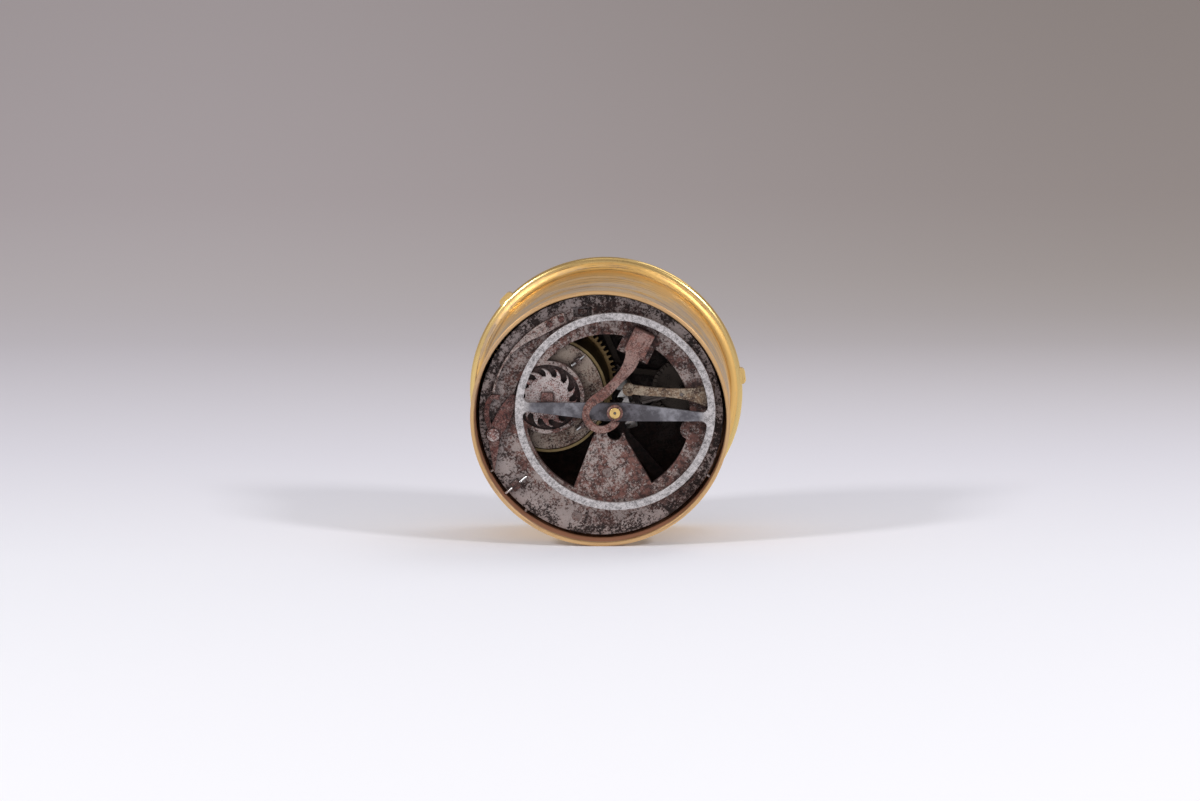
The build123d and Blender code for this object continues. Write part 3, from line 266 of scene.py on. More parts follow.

# %% [markdown]
# ## The stage
# The clock lies on its near rim and on its far flange, which is wider, so the drum's axis rises
# away from the camera. The pale floor is a plane that touches both. It bends up far behind into a
# backdrop, and its colour runs from near white in front to a warm grey at the top, painted shade
# where the light falls off. A level table under the base takes its place where the clock is seen
# from the side of the dial. Each shows from its upper side alone: from behind or below it is clear,
# so that it never hides the clock. Both are left out of bounced and mirrored light, or they would
# draw a dark band on the gilt wall where it touches them. The world's even light and gradient stand
# in for them there.

# %% The floor under the lying clock
near_radius = 32.5
flange_ring = Vector((34.25, 36.85))
flange_round = 1.25
reach = math.hypot(flange_ring.x - near_radius, flange_ring.y)
floor_tilt = math.atan2(flange_ring.x - near_radius, flange_ring.y) + math.asin(flange_round / reach)
floor_away = inward * math.cos(floor_tilt) - upward * math.sin(floor_tilt)
floor_up = upward * math.cos(floor_tilt) + inward * math.sin(floor_tilt)
floor_start = -upward * near_radius * MM
print("the floor leans by", round(math.degrees(floor_tilt), 2), "degrees")


def stage_sheet(name, origin, away, up, points, half_width):
    """A sheet that follows a line of (away, up) points and is level across."""
    side = away.cross(up)
    vertices = []
    for distance_away, height in points:
        middle = origin + away * distance_away + up * height
        vertices += [middle - side * half_width, middle + side * half_width]
    faces = [(2 * n, 2 * n + 1, 2 * n + 3, 2 * n + 2) for n in range(len(points) - 1)]
    mesh = bpy.data.meshes.new(name)
    mesh.from_pydata([tuple(v) for v in vertices], [], faces)
    mesh.update()
    if mesh.polygons[0].normal.dot(up) < 0:
        mesh.flip_normals()
    mesh.shade_smooth()
    sheet = bpy.data.objects.new(name, mesh)
    bpy.context.scene.collection.objects.link(sheet)
    return sheet


floor_front, floor_half_width = -0.75, 3.0
bend_start, bend_radius, bend_steps = 0.55, 0.9, 16
table_reach = 2.0
profile = [(floor_front, 0.0), (0.0, 0.0), (bend_start, 0.0)]
for step in range(1, bend_steps + 1):
    angle = math.pi / 2 * step / bend_steps
    profile.append((bend_start + bend_radius * math.sin(angle), bend_radius * (1 - math.cos(angle))))
floor = stage_sheet("floor", floor_start, floor_away, floor_up, profile, floor_half_width)
table = stage_sheet("table", Vector((0, 0, 0)), Vector((1, 0, 0)), inward,
                    [(-table_reach, 0.0), (table_reach, 0.0)], table_reach)
for sheet in (floor, table):
    sheet.visible_diffuse = sheet.visible_glossy = sheet.visible_transmission = False
table.visible_shadow = False
print("the stage has a floor and a table")

# %% [markdown]
# ## The backdrop's colours and the light
# The floor is a plain matt surface, so that it keeps the clock's shadow. Its colour follows the
# distance behind the clock, with painted shade that greys it up the backdrop, and more painted shade
# on the right. The world gives even light, with a grey to white gradient only where the camera, a
# reflection or glass looks at it. Two softboxes stand left and right of the clock, as the two faint
# shadows in the photograph tell, and a wide, weak one hangs over it. A fourth stands on the dial's
# side, beside the clock and not behind it, so that no light spot falls on the backdrop that the
# photograph shows.

# %% Floor colour
run_start, run_end = -0.6, 2.4
# Painted shade for the right-hand side of the backdrop, where less light falls.
right_painted_shade = (0.73, 0.71, 0.66)


def one_sided(name, tone):
    """A matt material that is clear from its back."""
    finish = Finish(bpy.data.materials.new(name))
    matt = finish.node("BsdfDiffuse", {}, {"Color": tone(finish)})
    clear = finish.node("BsdfTransparent")
    behind = finish.node("NewGeometry", out="Backfacing")
    shown = finish.node("MixShader", {}, {0: behind, 1: matt, 2: clear})
    finish.node("OutputMaterial", {}, {"Surface": shown})
    return finish.owner


def floor_tone_and_falloff(finish):
    """Near white in front of the clock, and warm grey up the backdrop as painted falloff of light, with
    more painted shade on the right.
    """
    away, up, side = (finish.vectors("DOT_PRODUCT", finish.place(), tuple(axis))
                      for axis in (floor_away, floor_up, across))
    run = finish.node("MapRange", {}, {"Value": away + up * 2.0,
                                       "From Min": run_start, "From Max": run_end})
    # Painted falloff of light: the ramp greys from near white towards the top of the backdrop.
    tone = finish.ramp(
        run, (0.09, shade(241, 240, 245)), (0.17, shade(239, 238, 245)), (0.24, shade(230, 227, 236)),
        (0.35, shade(218, 212, 219)), (0.42, shade(208, 200, 203)), (0.49, shade(198, 188, 191)),
        (0.64, shade(190, 180, 182)))
    # Painted shade over the right-hand side of the backdrop.
    right_shade_share = finish.mask(side, -0.34, 0.28) * finish.mask(run, 0.2, 0.46)
    return finish.times(right_shade_share, tone, right_painted_shade)


floor.data.materials.append(one_sided("floor_matt_painted_falloff", floor_tone_and_falloff))
table.data.materials.append(one_sided("table_matt", lambda finish: (*shade(244, 243, 247), 1)))
print("floor and table are painted")

# %% World and lamps
world = bpy.data.worlds.new("studio")
bpy.context.scene.world = world
sky = Finish(world)
direction = sky.node("TexCoord", out="Generated")
height = sky.vectors("DOT_PRODUCT", direction, tuple(floor_up))
studio_tone = sky.ramp((height + 1.0) * 0.5, (0.0, shade(248, 247, 251)), (0.45, shade(232, 230, 236)),
                       (0.62, shade(180, 172, 174)), (1.0, shade(150, 142, 140)))
rays = {kind: sky.node("LightPath", out=kind) for kind in
        ("Is Camera Ray", "Is Glossy Ray", "Is Transmission Ray")}
looked_at = rays["Is Camera Ray"] + rays["Is Glossy Ray"] + rays["Is Transmission Ray"]
even_light = 0.48
shown_tone = sky.blend(looked_at, (even_light, even_light, even_light), studio_tone)
background = sky.node("Background", {}, {"Color": shown_tone, "Strength": 1.0})
sky.node("OutputWorld", {}, {"Surface": background})


aim_depth = 18


def softbox(name, right, up, depth, side, watts):
    """A square lamp at a place in the photograph's directions, in millimetres, aimed at the clock."""
    data = bpy.data.lights.new(name, "AREA")
    data.shape = "SQUARE"
    data.size = side * MM
    data.energy = watts
    lamp = bpy.data.objects.new(name, data)
    bpy.context.scene.collection.objects.link(lamp)
    lamp.location = point(right, up, depth)
    lamp.rotation_mode = "QUATERNION"
    lamp.rotation_quaternion = (point(0, 0, aim_depth) - lamp.location).to_track_quat("-Z", "Y")
    lamp.visible_camera = False


softbox("softbox_left", -685, 600, -515, 150, 3.9)
softbox("softbox_right", 685, 600, -515, 150, 3.9)
softbox("softbox_over", 0, 950, -60, 500, 0.5)
softbox("softbox_dial", 420, 800, 420, 420, 1.0)
print("even light", even_light, "and four softboxes")

# %% [markdown]
# ## Rusted iron
# The plates are old wrought iron: a purple-brown rust, dark in its hollows, through which bright
# grey iron shows in speckled patches. A photograph could be laid on, but noise at several scales
# gives the same look on every side: large clouds set where iron is bare, fine ones break up the
# edge of each patch, and a third adds grain. The same masks drive colour, shine and relief. On the
# back plate, the rim is darker and full of black specks, and what lies deeper than its face gets
# painted shade. Under and beside other pieces, an Ambient Occlusion node paints shade into the
# corners.

# %% Rusted iron
region_waves, cloud_waves, mottle_waves, speckle_waves, grain_waves = 62, 230, 760, 1900, 7000
iron_shine = 0.5
corner_painted_shade = ((0.35, (0.08, 0.05, 0.05)), (0.64, (0.4, 0.34, 0.34)), (0.88, (1.0, 1.0, 1.0)))
grain_dirt = ((0.32, (0.4, 0.36, 0.36)), (0.62, (1.0, 1.0, 1.0)))


def rusted_iron(name, bare, rust, dark, share, size=1.0, deep=None, rim=None, hollow=2.4):
    """Iron whose bare share shows through rust; the size scales its patches. It gets painted shade
    below a deep level and where something lies nearer than the hollow, and black specks towards a rim
    radius."""
    finish = Finish(bpy.data.materials.new(name))
    regions = finish.noise(region_waves, 2.0, 0.5)
    clouds = finish.noise(cloud_waves / size, 4.0, 0.6)
    mottle = finish.noise(mottle_waves / size, 4.0, 0.62)
    speckle = finish.noise(speckle_waves / size, 7.0, 0.76)
    grain = finish.noise(grain_waves, 3.0, 0.6)
    worn = speckle * 0.56 + clouds * 0.28 + regions * 0.16
    if rim:
        radius = finish.vectors("LENGTH", finish.flat(finish.place()))
        edge = finish.mask(radius, rim[0] * MM, rim[1] * MM)
        worn = worn + edge * 0.025
    low = 0.525 - share * 0.12
    bare_iron = finish.mask(worn, low, low + 0.05)
    rust_tone = finish.blend(finish.mask(mottle, 0.36, 0.64), dark, rust)
    rust_tone = finish.times(0.6, rust_tone, finish.ramp(grain, *grain_dirt))
    iron_tone = finish.blend(finish.mask(grain, 0.35, 0.62), [0.6 * c for c in bare], bare)
    tone = finish.blend(bare_iron * 0.85, rust_tone, iron_tone)
    # Painted shade: darker where other pieces lie near, in corners, crevices and under things.
    tone = finish.times(0.95, tone, finish.ramp(finish.openness(hollow * MM), *corner_painted_shade))
    # Painted shade: darker below the deep level, inside the recess.
    if deep:
        below = finish.mask(finish.height(), deep[0] * MM, deep[1] * MM)
        tone = finish.times(below, tone, (0.4, 0.34, 0.34))
    if rim:
        rim_tone = finish.blend(bare_iron, shade(78, 66, 65), shade(176, 168, 168))
        tone = finish.blend(edge * 0.5, tone, rim_tone)
        black = finish.mask(speckle * 0.6 + clouds * 0.4 - edge * 0.065, 0.45, 0.415)
        tone = finish.times(black * edge, tone, (0.12, 0.09, 0.09))
    relief = speckle * 0.7 + grain * 0.3 - bare_iron * 0.15
    return finish.surface(base_color=tone, metallic=bare_iron * iron_shine,
                          roughness=0.74 - bare_iron * 0.26,
                          normal=finish.relief(relief, 0.8, 0.00012))


rust_red = shade(128, 86, 78)
rust_dark = shade(54, 33, 31)
# The back plate gets painted shade deeper than its face, from 5.35 to 5.65 mm, and black specks from 21
# to 31 mm out.
plate_iron = rusted_iron("plate_iron", shade(194, 180, 175), rust_red, rust_dark, 0.2,
                         deep=(5.35, 5.65), rim=(21.0, 31.0))
# Inner iron is rusted iron toned down as painted shade for the inside of the movement.
shaded_inner_iron = rusted_iron("shaded_inner_iron", shade(80, 72, 68), shade(60, 40, 37), shade(22, 15, 15), 0.1)
lid_iron = rusted_iron("lid_iron", shade(194, 178, 164), shade(134, 104, 92), shade(58, 40, 36),
                       0.4, 0.9)
plug_iron = rusted_iron("plug_iron", shade(158, 144, 140), rust_red, rust_dark, 0.4, 0.6)
ratchet_iron = rusted_iron("ratchet_iron", shade(222, 212, 210), shade(152, 104, 98),
                           shade(84, 52, 50), 0.35, 0.7, hollow=0.9)
cock_iron = rusted_iron("cock_iron", shade(176, 146, 138), shade(140, 94, 85), shade(78, 48, 44),
                        0.2, 0.7)
click_iron = rusted_iron("click_iron", shade(178, 148, 142), shade(120, 72, 66), shade(54, 31, 30),
                         0.12, 0.6)
spring_iron = rusted_iron("spring_iron", shade(222, 208, 202), shade(140, 98, 90),
                          shade(64, 42, 40), 0.45, 0.6)
post_iron = rusted_iron("post_iron", shade(156, 142, 138), shade(100, 66, 60), shade(44, 30, 28),
                        0.15, 0.6)
bridge_iron = rusted_iron("bridge_iron", shade(186, 170, 150), shade(140, 114, 92),
                          shade(70, 50, 40), 0.4, 1.0)
print("ten kinds of rusted iron")

# %% [markdown]
# ## Filed and turned steel
# Pins are drawn steel, arbors are turned and oxidised, and the crown wheel is filed. One recipe
# serves all: a metal with fine scratches, which are noise drawn out along one direction, and pits
# cut where another noise is high.

# %% Filed steel
scratch_waves, stain_waves, pit_waves = 3000, 420, 3600


def filed_steel(name, tone, roughness, pits, stretch=(1.0, 1.0, 1.0)):
    """Bright steel with scratches drawn out by the stretch, and a share of dark pits."""
    finish = Finish(bpy.data.materials.new(name))
    drawn = finish.node("Mapping", {}, {"Vector": finish.place(), "Scale": stretch})
    lines = finish.noise(scratch_waves, 3.0, 0.65, drawn)
    clouds = finish.noise(stain_waves, 3.0, 0.6)
    spots = finish.noise(pit_waves, 4.0, 0.7)
    pitted = finish.mask(spots * 0.75 + clouds * 0.25, 0.66 - pits, 0.7 - pits)
    steel = finish.blend(finish.mask(lines, 0.3, 0.7), [0.8 * c for c in tone], tone)
    steel = finish.blend(finish.mask(clouds, 0.4, 0.75) * 0.35, steel, [0.75 * c for c in tone])
    steel = finish.blend(pitted * 0.75, steel, [0.22 * c for c in tone])
    return finish.surface(base_color=steel, metallic=0.85 - pitted * 0.5,
                          roughness=roughness + lines * 0.12 + pitted * 0.25,
                          normal=finish.relief(lines * 0.6 + spots * 0.4, 0.35, 0.00005))


crown_steel = filed_steel("crown_steel", shade(200, 200, 200), 0.32, 0.03)
bright_steel = filed_steel("bright_steel", shade(214, 214, 214), 0.26, 0.0)
arbor_steel = filed_steel("arbor_steel", shade(124, 116, 112), 0.4, 0.08, (1.0, 1.0, 6.0))
# Wheel iron is toned down as painted shade for the wheels inside the movement.
wheel_iron = filed_steel("wheel_iron", shade(84, 76, 70), 0.5, 0.12)
spring_blue = filed_steel("spring_blue", shade(104, 100, 106), 0.4, 0.1)
blued_steel = filed_steel("blued_steel", shade(58, 70, 104), 0.3, 0.02)
print("six kinds of steel from one recipe")

# %% [markdown]
# ## Balance steel
# The balance is a finish of its own. Its rim is bright and finely pitted, and its two arms get
# greyer and darker towards the hub. The distance from the verge decides which of the three tones
# shows, so the darkening turns with the balance.

# %% Steel of the balance
def balance_finish(hub, arm_end, rim_start):
    """Bright on the rim, and darker along the arms towards the hub."""
    finish = Finish(bpy.data.materials.new("balance_steel"))
    from_hub = finish.vectors("SUBTRACT", finish.place(), tuple(hub))
    radius = finish.vectors("LENGTH", finish.flat(from_hub))
    clouds = finish.noise(260, 4.0, 0.65)
    lines = finish.noise(1300, 4.0, 0.7)
    spots = finish.noise(3000, 5.0, 0.72)
    fine = finish.noise(4200, 3.0, 0.7)
    speckled = finish.mask(lines * 0.5 + fine * 0.3 + spots * 0.2, 0.38, 0.58)
    rim_tone = finish.blend(speckled, shade(116, 112, 113), shade(218, 213, 214))
    arm_tone = finish.blend(finish.mask(clouds, 0.38, 0.66), shade(92, 90, 96), shade(150, 149, 156))
    hub_tone = finish.blend(finish.mask(clouds, 0.4, 0.6), shade(66, 62, 66), shade(104, 101, 108))
    tone = finish.blend(finish.mask(radius, 3 * MM, 12 * MM), hub_tone, arm_tone)
    tone = finish.blend(finish.mask(radius, arm_end, rim_start), tone, rim_tone)
    pits = finish.mask(spots * 0.8 + clouds * 0.2, 0.6, 0.66)
    tone = finish.blend(pits * 0.55, tone, shade(84, 78, 78))
    return finish.surface(base_color=tone, metallic=0.55 - pits * 0.3, roughness=0.44 + lines * 0.12,
                          normal=finish.relief(lines * 0.5 + spots * 0.5, 0.4, 0.00006))


verge_place = Vector((-3.973, -0.345, 0.0)) * MM
arms_end, rim_starts = 20.5, 23.2
balance_steel = balance_finish(verge_place, arms_end * MM, rim_starts * MM)
print("the balance is bright from", rim_starts, "mm outwards")

# %% [markdown]
# ## Steel of the pillars' pins
# The pins of the left and the top pillar are bright, and those of the right one have rusted with
# it. They are one piece of the model, so the finish asks how far a place is from that pillar.

# %% Steel of the pillars' pins
def pin_finish(rusted_place, reach):
    """Bright drawn steel, but rusted within reach of one place."""
    finish = Finish(bpy.data.materials.new("pin_steel"))
    away = finish.vectors("DISTANCE", finish.place(), tuple(rusted_place))
    rust = finish.mask(away, reach, reach * 0.7)
    fine = finish.noise(2800, 4.0, 0.7)
    rust_tone = finish.blend(finish.mask(fine, 0.4, 0.6), shade(58, 38, 36), shade(112, 82, 76))
    tone = finish.blend(rust, shade(222, 222, 222), rust_tone)
    return finish.surface(base_color=tone, metallic=0.85 - rust * 0.7, roughness=0.3 + rust * 0.35,
                          normal=finish.relief(fine, 0.3, 0.00005))


low_pillar, high_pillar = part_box("pillar_right")
right_pillar = (low_pillar + high_pillar) / 2
pin_reach = 20 * MM
pin_steel = pin_finish(right_pillar, pin_reach)
print("pins are rusted within", round(pin_reach / MM), "mm of the right pillar's middle")

# %% [markdown]
# ## Worn gilding
# The case was turned on a lathe and then gilt by fire. The turning left fine rings, which noise
# gives if it changes fast along the axis and slowly round it. Where hands have held the clock, the
# gold is thin: it turns grey-brown in long patches along the rings. Gold itself is a metal colour
# with little roughness, and the patches are duller, so they break up the reflections. The drum is
# rubbed most near its base, its lip has lost its gold, and it is a dull brown inside.

# %% Worn gilding
scratch_tone, tarnish_tone = shade(118, 82, 52), shade(84, 56, 34)
bore_tone, lip_tone = shade(160, 106, 78), shade(206, 170, 136)
gilt_painted_shade = ((0.2, (0.4, 0.26, 0.14)), (0.8, (1.0, 1.0, 1.0)))
gilt_shade_reach = 1.5
ring_spread = 1.5 * MM


def worn_gilding(name, gold, worn, share, rings, roughness, bore=None):
    """Gilt brass with turned rings round the axis and a share of worn places. A bore, in millimetres,
    is given for the drum: it is dull inside that radius, rubbed near its base and bare on its lip."""
    finish = Finish(bpy.data.materials.new(name))
    flat = finish.flat(finish.place())
    radius = finish.vectors("LENGTH", flat)
    height = finish.height()
    compass = finish.node("VectorMath", {"operation": "SCALE"},
                          {0: finish.vectors("NORMALIZE", flat), "Scale": ring_spread})
    around = finish.vectors("ADD", compass, finish.node("CombineXYZ", {}, {"Z": height + radius}))
    turned = finish.noise(760, 6.0, 0.8, around)
    bands = finish.noise(300, 3.0, 0.6, around)
    clouds = finish.noise(95, 5.0, 0.62)
    specks = finish.noise(1500, 4.0, 0.7)
    streaks = clouds * 0.36 + bands * 0.44 + turned * 0.2
    if bore:
        rubbed = finish.mask(height, 30 * MM, 6 * MM) * finish.mask(height, 0.1 * MM, 0.5 * MM)
        streaks = streaks + rubbed * 0.09 + clouds * rubbed * 0.06
    thin = finish.mask(streaks, 0.565 - share * 0.14, 0.71 - share * 0.14)
    tone = finish.blend(finish.mask(bands, 0.35, 0.7), [0.8 * c for c in gold], gold)
    worn_tone = finish.blend(finish.mask(turned, 0.36, 0.6), [0.62 * c for c in worn], worn)
    tone = finish.blend(thin * 0.8, tone, worn_tone)
    tone = finish.blend(finish.mask(turned, 0.5, 0.62) * rings * 0.7, tone, scratch_tone)
    tarnish = finish.mask(specks * 0.6 + turned * 0.4, 0.58, 0.64)
    tone = finish.blend(tarnish * 0.6, tone, tarnish_tone)
    dull = 0.0
    if bore:
        inside = finish.mask(radius, bore * MM, (bore - 0.2) * MM)
        dull = inside * finish.mask(height, 0.4 * MM, 1.2 * MM)
        tone = finish.blend(dull * 0.9, tone, bore_tone)
        tone = finish.blend(finish.mask(height, 0.9 * MM, 0.3 * MM) * 0.6, tone, lip_tone)
    # Painted shade: the gilding darkens where other pieces or walls lie near, in corners and crevices.
    tone = finish.times(0.7, tone, finish.ramp(finish.openness(gilt_shade_reach * MM), *gilt_painted_shade))
    roughness = roughness + thin * 0.16 + tarnish * 0.2 + turned * 0.14 + dull * 0.15
    return finish.surface(base_color=tone, metallic=1.0 - thin * 0.45 - tarnish * 0.3 - dull * 0.2,
                          roughness=roughness,
                          normal=finish.relief(turned * 0.8 + specks * 0.2, rings, 0.00006))


gold = (0.95, 0.61, 0.21)
case_gilt = worn_gilding("case_gilt", gold, shade(182, 168, 156), 0.45, 1.0, 0.36, bore=31.9)
bezel_gilt = worn_gilding("bezel_gilt", (0.88, 0.64, 0.26), shade(168, 146, 108), 0.1, 0.35, 0.2)
dial_gilt = worn_gilding("dial_gilt", (0.84, 0.60, 0.26), shade(160, 138, 104), 0.2, 0.25, 0.34)
barrel_brass = worn_gilding("barrel_brass", (0.26, 0.2, 0.1), shade(70, 58, 40), 0.4, 0.4, 0.42)
train_brass = worn_gilding("train_brass", (0.62, 0.45, 0.22), shade(128, 104, 72), 0.3, 0.4, 0.36)
bush_brass = worn_gilding("bush_brass", (0.9, 0.62, 0.24), shade(180, 140, 84), 0.0, 0.2, 0.2)
chapter_silver = worn_gilding("chapter_silver", (0.74, 0.72, 0.66), shade(150, 140, 120),
                              0.3, 0.25, 0.42)
print("seven gilt, brass and silvered finishes")

# %% [markdown]
# ## Eased edges
# A CAD edge is perfectly sharp, and a real one never is: a file has broken it, and it catches the
# light. A CAD piece's own mesh is left alone. A copy is merged from loose triangles into whole
# faces, flat ones are joined, and a Bevel modifier eases each edge that turns by enough. Faces
# that turn less, as round a cylinder, are shaded smoothly.

# %% Dress a CAD piece
weld_reach = 0.003 * MM
flat_turn, smooth_turn = math.radians(0.6), math.radians(32)
edge_steps = 2


def dressed(node, finish, edge=0.1):
    """Stand a copy with eased edges and a finish in a CAD piece's place; the edge is in millimetres."""
    source = frame["nodes"][node]
    mesh = bpy.data.meshes.new(node + "_dressed")
    shape = bmesh.new()
    shape.from_mesh(source.data)
    bmesh.ops.remove_doubles(shape, verts=shape.verts, dist=weld_reach)
    bmesh.ops.dissolve_limit(shape, angle_limit=flat_turn, verts=shape.verts, edges=shape.edges)
    for face in shape.faces:
        face.smooth = True
        face.material_index = 0
    shape.to_mesh(mesh)
    shape.free()
    mesh.materials.append(finish)
    mesh.set_sharp_from_angle(angle=smooth_turn)
    piece = bpy.data.objects.new(node + "_dressed", mesh)
    bpy.context.scene.collection.objects.link(piece)
    if edge:
        ease = piece.modifiers.new("eased_edges", "BEVEL")
        ease.width = edge * MM
        ease.segments = edge_steps
        ease.limit_method = "ANGLE"
        ease.angle_limit = smooth_turn
        ease.harden_normals = True
        ease.use_clamp_overlap = True
    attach(piece, source["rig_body"])
    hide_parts(node)


print("a dressed piece has edges eased by 0.1 mm if nothing else is said")

# %% [markdown]
# ## Case and bezel
# The drum is one turned piece with a lip at the base and a cove under the moulding. The bezel
# carries the round moulding and three cast tabs. Both keep the CAD shape, with worn gilding.

# %% Case and bezel
dressed("case_drum", case_gilt, 0.12)
dressed("bezel", bezel_gilt, 0.12)
dressed("case_pins", bright_steel, 0.05)
print("case and bezel are gilt")

# %% [markdown]
# ## The iron frame
# The back plate with its spoke and winding eye, the front plate, the pillars and the plugs are
# rusted iron. The pins through the pillars' tenons are bright on the left, as in the photograph.

# %% Plates, pillars and pins
dressed("back_plate", plate_iron, 0.14)
# The front plate is rusted iron toned down as painted shade.
dressed("front_plate", shaded_inner_iron, 0.14)
dressed("plate_plugs", plug_iron, 0.06)
for node in ("pillar_left", "pillar_top", "pillar_right"):
    dressed(node, post_iron, 0.12)
dressed("pillar_pins", pin_steel, 0.05)
print("the frame of the movement is rusted iron")

# %% [markdown]
# ## Balance, cock and escapement
# The balance is a bright ring with two tapering arms and no spring. The cock sweeps over it in an
# S and ends in a collar round a gilt bush. Below lie the crown wheel, its bridge and its potences.

# %% Balance, cock and escapement
dressed("balance_wheel", balance_steel, 0.12)
dressed("verge", arbor_steel, 0.04)
dressed("balance_cock", cock_iron, 0.16)
dressed("cock_bush", bush_brass, 0.06)
dressed("cock_pin", bright_steel, 0.05)
dressed("crown_bridge", bridge_iron, 0.14)
dressed("bridge_rivet", bridge_iron, 0.08)
dressed("crown_wheel", crown_steel, 0.04)
dressed("crown_arbor", arbor_steel, 0.03)
# The potences are rusted iron toned down as painted shade.
for node in ("crown_potence", "crown_counter_potence", "verge_potence"):
    dressed(node, shaded_inner_iron, 0.12)
print("the escapement is dressed")

# %% [markdown]
# ## Barrel, winding work and train
# The barrel is brass under an iron lid, whose four posts are pinned. The ratchet wheel on the
# winding arbor is held by a click with a long curved spring.

# %% Barrel, winding work and train
dressed("barrel_drum", barrel_brass, 0.1)
dressed("barrel_lid", lid_iron, 0.12)
dressed("lid_posts", post_iron, 0.1)
dressed("lid_pins", bright_steel, 0.05)
dressed("barrel_arbor", click_iron, 0.08)
dressed("ratchet_wheel", ratchet_iron, 0.08)
dressed("mainspring", spring_blue, 0.0)
dressed("great_wheel", train_brass, 0.04)
dressed("report_pinion", arbor_steel, 0.03)
dressed("click", click_iron, 0.14)
dressed("click_stud", ratchet_iron, 0.12)
dressed("click_spring", spring_iron, 0.12)
dressed("spring_rivets", click_iron, 0.08)
# The wheels are dark iron, toned down further as painted shade.
for node in ("contrate_wheel", "second_wheel", "hour_wheel"):
    dressed(node, wheel_iron, 0.03)
for node in ("contrate_arbor", "second_arbor", "hour_arbor"):
    dressed(node, arbor_steel, 0.03)
print("barrel, click and train are dressed")

# %% [markdown]
# ## Dial
# The gilt dial plate carries a silvered chapter ring, a stud at each hour that could be felt in
# the dark, and one hand. The plate and the ring keep their CAD shape.

# %% Dial plate, ring and hand
dressed("dial_plate", dial_gilt, 0.08)
dressed("dial_feet", dial_gilt, 0.06)
dressed("dial_pins", bright_steel, 0.05)
dressed("chapter_ring", chapter_silver, 0.06)
dressed("hour_hand", blued_steel, 0.14)
dressed("hand_washer", bush_brass, 0.06)
dressed("hand_pin", bright_steel, 0.04)
dial_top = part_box("dial_plate")[1].z
ring_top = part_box("chapter_ring")[1].z
stud_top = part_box("touch_studs")[1].z
print("dial at", round(dial_top / MM, 2), "mm, ring at", round(ring_top / MM, 2), "mm")

# %% [markdown]
# ## A kit for patterns
# What repeats round the dial is made with Geometry Nodes: a tree holds the rule, and its inputs
# hold the sizes. One class builds a tree with named inputs, and turns its result into a plain
# mesh, because a modifier that makes instances is lost when the model is exported.

# %% Trees of geometry nodes
class Pattern:
    """A tree of geometry nodes with named sizes."""

    def __init__(self, name, sizes):
        self.tree = bpy.data.node_groups.new(name, "GeometryNodeTree")
        self.tree.interface.new_socket("Geometry", in_out="OUTPUT", socket_type="NodeSocketGeometry")
        self.named = {}
        for label, value in sizes.items():
            kind = "NodeSocketInt" if isinstance(value, int) else "NodeSocketFloat"
            socket = self.tree.interface.new_socket(label, in_out="INPUT", socket_type=kind)
            socket.default_value = value
            self.named[label] = socket.identifier
        self.given = self.tree.nodes.new("NodeGroupInput")

    def size(self, label):
        """The output socket of a named size."""
        return next(s for s in self.given.outputs if s.identifier == self.named[label])

    def node(self, kind, settings=(), sockets=(), out=0):
        """Add a node of a type, and return one of its outputs."""
        made = self.tree.nodes.new(kind)
        for name, value in dict(settings).items():
            setattr(made, name, value)
        for name, value in dict(sockets).items():
            if isinstance(value, bpy.types.NodeSocket):
                self.tree.links.new(value, made.inputs[name])
            else:
                made.inputs[name].default_value = value
        return made.outputs[out]

    def ring(self, shape, count, radius, lift):
        """Copies of a shape on a circle, each turned to face outwards."""
        circle = self.node("GeometryNodeMeshCircle", {}, {"Vertices": count, "Radius": radius})
        where = self.node("GeometryNodeInputPosition")
        facing = self.node("FunctionNodeAlignRotationToVector", {"axis": "X"}, {"Vector": where})
        copies = self.node("GeometryNodeInstanceOnPoints", {},
                           {"Points": circle, "Instance": shape, "Rotation": facing})
        rise = self.node("ShaderNodeCombineXYZ", {}, {"Z": lift})
        return self.node("GeometryNodeTransform", {}, {"Geometry": copies, "Translation": rise})

    def close(self, geometry, finish):
        """End the tree in whole geometry with a material."""
        whole = self.node("GeometryNodeRealizeInstances", {}, {0: geometry})
        painted = self.node("GeometryNodeSetMaterial", {}, {"Geometry": whole, "Material": finish})
        result = self.tree.nodes.new("NodeGroupOutput")
        self.tree.links.new(painted, result.inputs[0])

    def make(self, name, sizes=()):
        """A plain mesh object from the tree, with some sizes changed."""
        made = bpy.data.objects.new(name, bpy.data.meshes.new(name + "_start"))
        bpy.context.scene.collection.objects.link(made)
        rule = made.modifiers.new("pattern", "NODES")
        rule.node_group = self.tree
        for label, value in dict(sizes).items():
            rule[self.named[label]] = value
        made.update_tag()
        evaluated = made.evaluated_get(bpy.context.evaluated_depsgraph_get())
        mesh = bpy.data.meshes.new_from_object(evaluated)
        made.modifiers.clear()
        made.data = mesh
        mesh.name = name
        print(name, "has", len(mesh.polygons), "faces")
        return made


def settle(piece, body, slot, *nodes):
    """Let a piece ride on a body and stand for the nodes it replaces; the slot is not used."""
    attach(piece, body)
    if nodes:
        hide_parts(*nodes)


print("a pattern turns a tree with named sizes into a plain mesh")

# %% [markdown]
# ## Touch studs
# Each stud is a small dome on the chapter ring. The tree sets twelve small spheres on a circle, and
# their heights are then scaled, so that the domes are as high as the plain CAD studs they replace.

